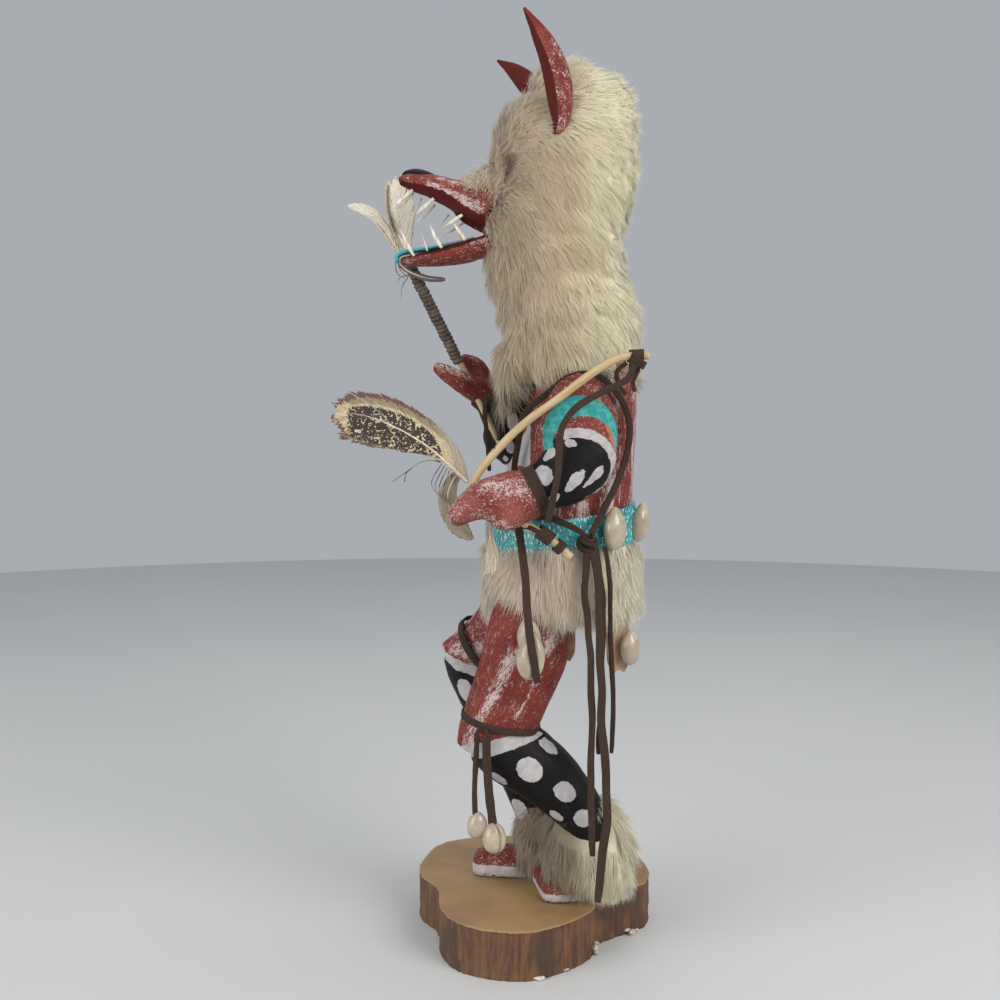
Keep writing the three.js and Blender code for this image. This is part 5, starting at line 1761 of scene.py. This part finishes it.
def barred_finish():
    recipe = Recipe("barred vane", roughness=0.6, Sheen_Weight=0.15)
    heart, edge, down = recipe.add("SeparateColor", recipe.stored("coat", "Color")).outputs[:3]
    mottle = recipe.grain(470, detail=1.5, distortion=1.6)
    wander = recipe.times(recipe.sum(mottle, 0.5, "SUBTRACT"), 1.2)
    fine = recipe.grain(1500, detail=3)
    inside = recipe.fade(mottle, 0.56, 0.6, (58, 41, 31), (212, 195, 160))
    colour = recipe.fade(fine, 0.4, 0.7, (208, 191, 155), (184, 166, 130))
    colour = recipe.fade(recipe.times(heart, -1.0), 0.2, 0.8, colour, (152, 136, 104))
    colour = recipe.fade(recipe.sum(heart, wander), 0.3, 0.42, colour, inside)
    colour = recipe.fade(recipe.sum(edge, wander), 0.4, 0.7, colour, (112, 74, 62))
    colour = recipe.fade(down, 0.1, 0.9, colour, (176, 162, 142))
    recipe.give(Base_Color=recipe.fade(fine, 0.45, 0.7, colour, (90, 74, 60), 0.15))
    return recipe.material


HAND_SHAFT = [(-28.1, -33.6, 208.5), (-42.7, -33, 221.8), (-53.1, -33, 228.8), (-58.8, -33, 231.9),
              (-66.2, -33, 235.2), (-73.2, -33, 237.3), (-82, -33, 238.8)]
HAND_WIDTHS = [(0.0, 6.5, 1.0), (0.08, 9, 1.0), (0.18, 10.4, 1.3), (0.24, 10.6, 1.8), (0.3, 10.7, 8),
               (0.36, 11, 12), (0.48, 10.5, 12.4), (0.6, 9.2, 11), (0.79, 6, 6), (0.935, 3, 3),
               (0.995, 1.4, 1.4)]
feather("barred_vane", ["hand_feather"], HAND_SHAFT, HAND_WIDTHS, barred_masks,
        angles=(33, 20), count=330, half=0.37, fray=0.9, shaft_half=0.6, shape=BARB,
        finish=barred_finish(), seed=51)

# %% [markdown]
# Below it hangs the feather's own soft part, grey-brown barbs that curl over and droop beside the hand, with
# two dark stray barbs, and a short pale plume hangs under the fingers.

# %% Down and plumes
def plain_tones(*colours, spread=0.08):
    """Tones that run from the shaft's colour to the tips' and vary from barb to barb."""
    inner, outer = screen(*colours)

    def tones(share, t, side, spots, rng):
        each = 1 + rng.normal(0, spread, (spots.shape[0], 1, 1))
        return np.clip((inner + (outer - inner) * t[..., None]) * each * np.ones(spots.shape), 0, 1)

    return tones


feather("drooping_down", ["drooping_plume"],
        [(-30, -31, 214.5), (-34.6, -31, 209.6), (-37, -31, 203.2), (-36, -31, 196.2), (-32.6, -31, 190),
         (-27.4, -31, 184.8)],
        [(0.02, 2.4, 2.4), (0.2, 4.4, 4.6), (0.45, 4.2, 4.2), (0.65, 2.8, 2.6), (0.85, 1.4, 1.3),
         (0.99, 0.4, 0.4)],
        plain_tones((146, 130, 110), (172, 158, 136), spread=0.04), angles=(24, 12), count=230,
        half=0.36, fray=0.8, seed=52)
feather("hanging_plume", ["short_plume"],
        [(-19, -36, 192), (-18.6, -36, 184), (-17.6, -36, 177), (-18.6, -36, 171)],
        [(0, 1.6, 1.4), (0.3, 3.0, 2.6), (0.6, 2.4, 2.2), (0.8, 1.4, 1.2), (0.99, 0.4, 0.4)],
        plain_tones((176, 162, 140), (204, 190, 168)), angles=(18, 12), count=100, half=0.34,
        fray=1.5, seed=53)

stray_bm = bmesh.new()
for stray in ([(-40, -33, 217.4), (-44.5, -33, 218), (-49, -33, 217), (-54, -33, 213.6),
               (-60.6, -33, 208.8)],
              [(-52.4, -33, 214.6), (-54.8, -33, 212.4), (-55.5, -33, 208.8)]):
    thinning = [(*at, 0.34 - 0.05 * i, 0.3 - 0.05 * i) for i, at in enumerate(stray)]
    loft(stray_bm, smooth_through(thinning, 22), 6)
for i in range(5):
    start = Vector((-39.5 + i * 1.1, -33.4, 216.6 - i))
    belly = start + Vector((-4.4 + 0.5 * i, 0, -8 - 0.4 * i))
    end = belly + Vector((3.0, 0, -6))
    loft(stray_bm, smooth_through([(*start, 0.24, 0.2), (*belly, 0.22, 0.2), (*end, 0.1, 0.1)], 14), 5)


def dark_barb():
    recipe = Recipe("dark barb", roughness=0.5)
    recipe.give(Base_Color=recipe.fade(recipe.grain(260), 0.4, 0.6, (58, 48, 44), (142, 126, 108)))
    return recipe.material


DARK_BARB = dark_barb()
piece("stray_barbs", stray_bm, DARK_BARB)

# %% [markdown]
# Two white feathers and a grey quill are tied to the top of the rattle stick. The wide one stands up behind
# the jaws and has a brown stripe near its edge. The narrow one curls forward.

# %% The staff's feathers
def wide_tones(share, t, side, spots, rng):
    white, cream, brown = screen((236, 230, 212), (222, 212, 188), (124, 88, 52))
    share, t, side = np.broadcast_arrays(share, t, side)
    colour = blend(np.broadcast_to(white, spots.shape), cream, t)
    stripe = np.exp(-((t - 0.72) / 0.16) ** 2) * (side < 0) * np.clip((share - 0.2) / 0.1, 0, 1)
    return blend(colour, brown, np.clip(stripe * np.clip((0.97 - share) / 0.1, 0, 1) * 1.4, 0, 1))


def curled_tones(share, t, side, spots, rng):
    cream, white, dark = screen((212, 198, 162), (234, 228, 212), (96, 74, 54))
    share, t, side = np.broadcast_arrays(share, t, side)
    colour = blend(np.broadcast_to(cream, spots.shape), white, np.clip(share * 1.3, 0, 1))
    stripe = np.exp(-((t - 0.55) / 0.14) ** 2) * np.clip((0.5 - share) / 0.2, 0, 1)
    return blend(colour, dark, stripe * 0.85)


feather("wide_vane", ["staff_feather_wide"],
        [(-57.5, 19, 311), (-60, 20, 321), (-62.5, 20.5, 332), (-65, 21, 344.5)],
        [(0.05, 3, 1.5), (0.2, 8, 3.8), (0.45, 9.4, 4.8), (0.6, 7, 4.2), (0.75, 4, 3.2), (0.9, 1.9, 1.6),
         (0.99, 0.8, 0.8)],
        wide_tones, angles=(34, 14), count=260, half=0.42, fray=0.8, seed=54)
feather("curled_vane", ["staff_feather_curled"],
        [(-60.5, 16.4, 312), (-64, 16.6, 318), (-68, 17, 325), (-73, 17, 330.5), (-79, 17, 333.6),
         (-84, 17, 334.8)],
        [(0.05, 1.6, 1.2), (0.3, 3.2, 2.6), (0.6, 2.6, 2.2), (0.85, 1.3, 1.1), (0.99, 0.4, 0.4)],
        curled_tones, angles=(24, 13), count=150, half=0.36, fray=1.0, seed=55)
feather("grey_quill_vane", ["staff_quill"],
        [(-62.5, 8.5, 309), (-56.5, 8.5, 303.8), (-48.5, 8.5, 300.8), (-41, 8.5, 300)],
        [(0.05, 1.0, 0.8), (0.4, 1.5, 1.3), (0.8, 1.0, 1.0), (0.99, 0.4, 0.4)],
        plain_tones((122, 112, 116), (88, 78, 78)), angles=(18, 12), count=80, half=0.34, fray=0.8,
        shaft_half=0.5, seed=56)
tassel_bm = bmesh.new()
for stray in ([(-62, 8, 310), (-60, 8, 304), (-56.5, 8, 301)],
              [(-57, 9, 301), (-59.5, 9, 297), (-60.2, 9, 292)],
              [(-57, 9, 302), (-60.5, 9, 301), (-61.6, 9, 298.5)],
              [(-62.5, 8, 308), (-61.8, 8, 303), (-58.5, 8, 300.5)]):
    thinning = [(*at, 0.3 - 0.08 * i, 0.3 - 0.08 * i) for i, at in enumerate(stray)]
    loft(tassel_bm, smooth_through(thinning, 14), 5)
piece("staff_stray_barbs", tassel_bm, DARK_BARB)

# %% [markdown]
# The base is a slice sawn across a forked branch, so its outline has three lobes with a notch on either
# side of the front one. The bark is gone and the wood beneath is streaked and ridged, while the top has been
# sanded and varnished. A circle is moved onto the outline and extruded up in thin layers. The ridges are
# pressed into the layers, and the top closes over in rings that shrink towards the middle.

# %% The branch slice
BASE_TALL = 21.5
BASE_OUTLINE = [(-19, -54.5), (-33, -46), (-40, -31), (-41.5, -14), (-44.5, -4.5), (-51, 7), (-51.5, 24),
                (-42, 50), (-14, 60), (22, 58), (46, 42), (55, 20), (52.5, -1), (38, -13), (29, -21),
                (25.5, -33), (15, -46), (-2, -56)]
BASE_POINTS = 340
FINE_ROWS = 4000


def closed_outline(points, count):
    """count evenly spaced points round a smooth closed curve through the given ones."""
    wrapped = points[-3:] + points + points[:4]
    rows = smooth_through([(x, y, 0) for x, y in wrapped], FINE_ROWS)
    x, y = points[0]
    away = np.hypot(rows[:, 0] - x, rows[:, 1] - y)
    starts = [np.argmin(away + (np.abs(np.arange(FINE_ROWS) - guess) > 900) * 99) for guess in (600, 3400)]
    return spaced(rows[starts[0]:starts[1] + 1], count + 1)[:-1, :2]


def base_layer(bm, edges, move):
    """Extrudes a loop of edges and moves the new corners."""
    grown = bmesh.ops.extrude_edge_only(bm, edges=edges)["geom"]
    verts = [item for item in grown if isinstance(item, bmesh.types.BMVert)]
    for vert in verts:
        vert.co = move(vert.co)
    return [item for item in grown if isinstance(item, bmesh.types.BMEdge)]


outline = closed_outline(BASE_OUTLINE, BASE_POINTS)
base_bm = bmesh.new()
loop_verts = bmesh.ops.create_circle(base_bm, cap_ends=False, radius=1, segments=BASE_POINTS)["verts"]
for vert, (x, y) in zip(loop_verts, outline):
    vert.co = Vector((x, y, 0)) * MM
base_rim = base_bm.edges[:]
bmesh.ops.edgeloop_fill(base_bm, edges=base_rim)
LAYERS = 16
TOP_RINGS = (1, 0.985, 0.96, 0.93, 0.88, 0.8, 0.68, 0.52, 0.34, 0.16)
HEART = Vector((4, 3, BASE_TALL)) * MM
edges = base_rim
for _ in range(LAYERS):
    edges = base_layer(base_bm, edges, lambda at: at + Vector((0, 0, BASE_TALL * MM / LAYERS)))
for outer, inner in zip(TOP_RINGS, TOP_RINGS[1:]):
    edges = base_layer(base_bm, edges, lambda at: HEART + (at - HEART) * (inner / outer))
bmesh.ops.edgeloop_fill(base_bm, edges=edges)
base_bm.normal_update()
skin = points_of(base_bm)
for vert, (x, y, z) in zip(base_bm.verts, skin):
    side = 0 < z < BASE_TALL - 0.01
    if abs(vert.normal.z) < 0.8 or side:
        around = Vector((x * 0.16, y * 0.16, z * 0.018))
        ridge = noise.noise(around * 2.4) * 0.55 + noise.noise(around * 6.5) * 0.4
        ridge = ridge + noise.noise(Vector((x, y, z * 1.5)) * 0.22) * 0.25
        worn = 0.5 * max(0, (z - (BASE_TALL - 1.6)) / 1.6) ** 2 + 0.35 * max(0, (1.5 - z) / 1.5)
        flat = Vector((vert.normal.x, vert.normal.y, 0))
        if flat.length > 0.05:
            vert.co += flat.normalized() * (ridge - 0.35 - worn) * MM


def branch_finish():
    recipe = Recipe("sawn branch", roughness=0.6)
    top = recipe.step(recipe.stored("top"), 0.35, 0.65)
    waver = recipe.times(recipe.grain(45, detail=2), 0.012)
    from_heart = [recipe.add("VectorMath", recipe.place, Vector(at) * MM,
                             operation="DISTANCE").outputs["Value"]
                  for at in ((-6, -20, BASE_TALL), (-20, 24, BASE_TALL), (24, 26, BASE_TALL))]
    nearest = recipe.sum(recipe.sum(*from_heart[:2], "MINIMUM"), from_heart[2], "MINIMUM")
    rings = recipe.sum(recipe.times(recipe.sum(nearest, waver), 3400), 0, "SINE")
    ring_line = recipe.step(rings, 0.55, 1.0)
    pores = recipe.grain(1500, detail=3)
    patch = recipe.grain(34, detail=3)
    sawn = recipe.fade(patch, 0.35, 0.7, (174, 140, 95), (152, 118, 79))
    sawn = recipe.mix(recipe.times(ring_line, 0.16), sawn, (130, 96, 60))
    sawn = recipe.fade(pores, 0.5, 0.75, sawn, (132, 98, 64), 0.25)
    upright = recipe.stretch(recipe.place, (1, 1, 0.14))
    streaks = recipe.grain(420, upright, detail=5, roughness=0.65)
    broad = recipe.grain(70, recipe.stretch(recipe.place, (1, 1, 0.4)), detail=4)
    bark = recipe.fade(streaks, 0.35, 0.65, (122, 85, 54), (86, 59, 40))
    bark = recipe.fade(broad, 0.5, 0.62, bark, (74, 54, 42), 0.75)
    bark = recipe.fade(streaks, 0.6, 0.72, bark, (60, 44, 35), 0.7)
    colour = recipe.mix(top, bark, sawn)
    rough = recipe.sum(0.72, recipe.times(top, -0.22))
    bumps = recipe.sum(recipe.times(streaks, recipe.sum(1.0, recipe.times(top, -1.0))),
                       recipe.times(pores, 0.12))
    recipe.give(Base_Color=colour, Roughness=rough, Normal=recipe.bump(bumps, 0.7, 0.8))
    return recipe.material


is_top = [vert.co.z > (BASE_TALL - 0.02) * MM for vert in base_bm.verts]
base = piece("branch_slice", base_bm, branch_finish(), ["base_slice"])
store(base, "top", is_top)
soft_corners(base, 0.3)

# %% [markdown]
# Lumps of white glue show under the edge, where felt was once stuck to the bottom.

# %% Glue
def glue_finish():
    recipe = Recipe("old glue", roughness=0.5)
    dust = recipe.grain(500, detail=4)
    recipe.give(Base_Color=recipe.fade(dust, 0.4, 0.7, (222, 216, 204), (170, 156, 138)),
                Normal=recipe.bump(dust, 0.3, 0.8))
    return recipe.material


GLUE = [((27.6, -30, 2.2), (0.8, 2.6, 1.8), 9), ((-1, -55.4, 0.9), (7, 0.5, 0.3), 8),
        ((45, -9, 1.5), (4, 3.2, 0.7), 8), ((13, -47.5, 0.8), (3, 2, 0.3), 4)]
rng = np.random.default_rng(61)
glue_bm = bmesh.new()
for centre, spread, lumps in GLUE:
    for _ in range(lumps):
        spot = np.array(centre) + rng.normal(0, 1, 3) * np.array(spread) * 0.7
        size = rng.uniform(0.7, 1.5, 3) * (1, 1, 0.7)
        spot[2] = max(spot[2], size[2] + 0.05)
        shape = Matrix.Translation(Vector(spot) * MM) @ Matrix.Diagonal((*size, 1)) @ Matrix.Scale(MM, 4)
        bmesh.ops.create_icosphere(glue_bm, subdivisions=3, radius=1, matrix=shape)
whittled(glue_bm, depth=0.45, size=1.3, seed=3)
for vert in glue_bm.verts:
    vert.co.z = max(vert.co.z, 0.0)
piece("glue_lumps", glue_bm, glue_finish())

# %% [markdown]
# The doll stands alone on a plain pale floor. Soft light comes from a large panel on the right, another on
# the left fills almost as strongly, and a weak one hangs above. The pale blue-grey world lights the rest, so
# that shadows are faint and wide.

# %% Floor and light
FLOOR_RADIUS = 1.6


def panel(name, place, aim, size, power, colour=(1, 1, 1)):
    """A square soft light that faces a point."""
    data = bpy.data.lights.new(name, "AREA")
    data.size = size
    data.energy = power
    data.color = colour
    lamp = bpy.data.objects.new(name, data)
    lamp.location = place
    lamp.rotation_euler = (Vector(aim) - Vector(place)).to_track_quat("-Z", "Y").to_euler()
    scene.collection.objects.link(lamp)


floor_bm = bmesh.new()
bmesh.ops.create_circle(floor_bm, cap_ends=True, radius=FLOOR_RADIUS, segments=96)
floor_mesh = bpy.data.meshes.new("floor")
floor_bm.to_mesh(floor_mesh)
floor_bm.free()
floor = bpy.data.objects.new("floor", floor_mesh)
scene.collection.objects.link(floor)
floor_finish = Recipe("pale floor", roughness=0.8)
floor_finish.give(Base_Color=floor_finish.mix(floor_finish.grain(6), (206, 207, 206), (212, 212, 210)))
floor_mesh.materials.append(floor_finish.material)

world = bpy.data.worlds.new("studio")
world.use_nodes = True
world.node_tree.nodes["Background"].inputs["Color"].default_value = tint(196, 200, 206)
world.node_tree.nodes["Background"].inputs["Strength"].default_value = 0.72
scene.world = world
panel("window", (0.75, -0.75, 0.75), (0, 0, 0.2), 0.7, 9, (1, 0.98, 0.95))
panel("fill", (-1.0, -0.7, 0.5), (0, 0, 0.2), 0.9, 8.5, (1, 0.99, 0.98))
panel("top", (0.1, 0.2, 1.1), (0, 0, 0.2), 0.8, 2)
scene.view_settings.view_transform = "Standard"
print("floor", FLOOR_RADIUS, "m in radius, three soft panels")
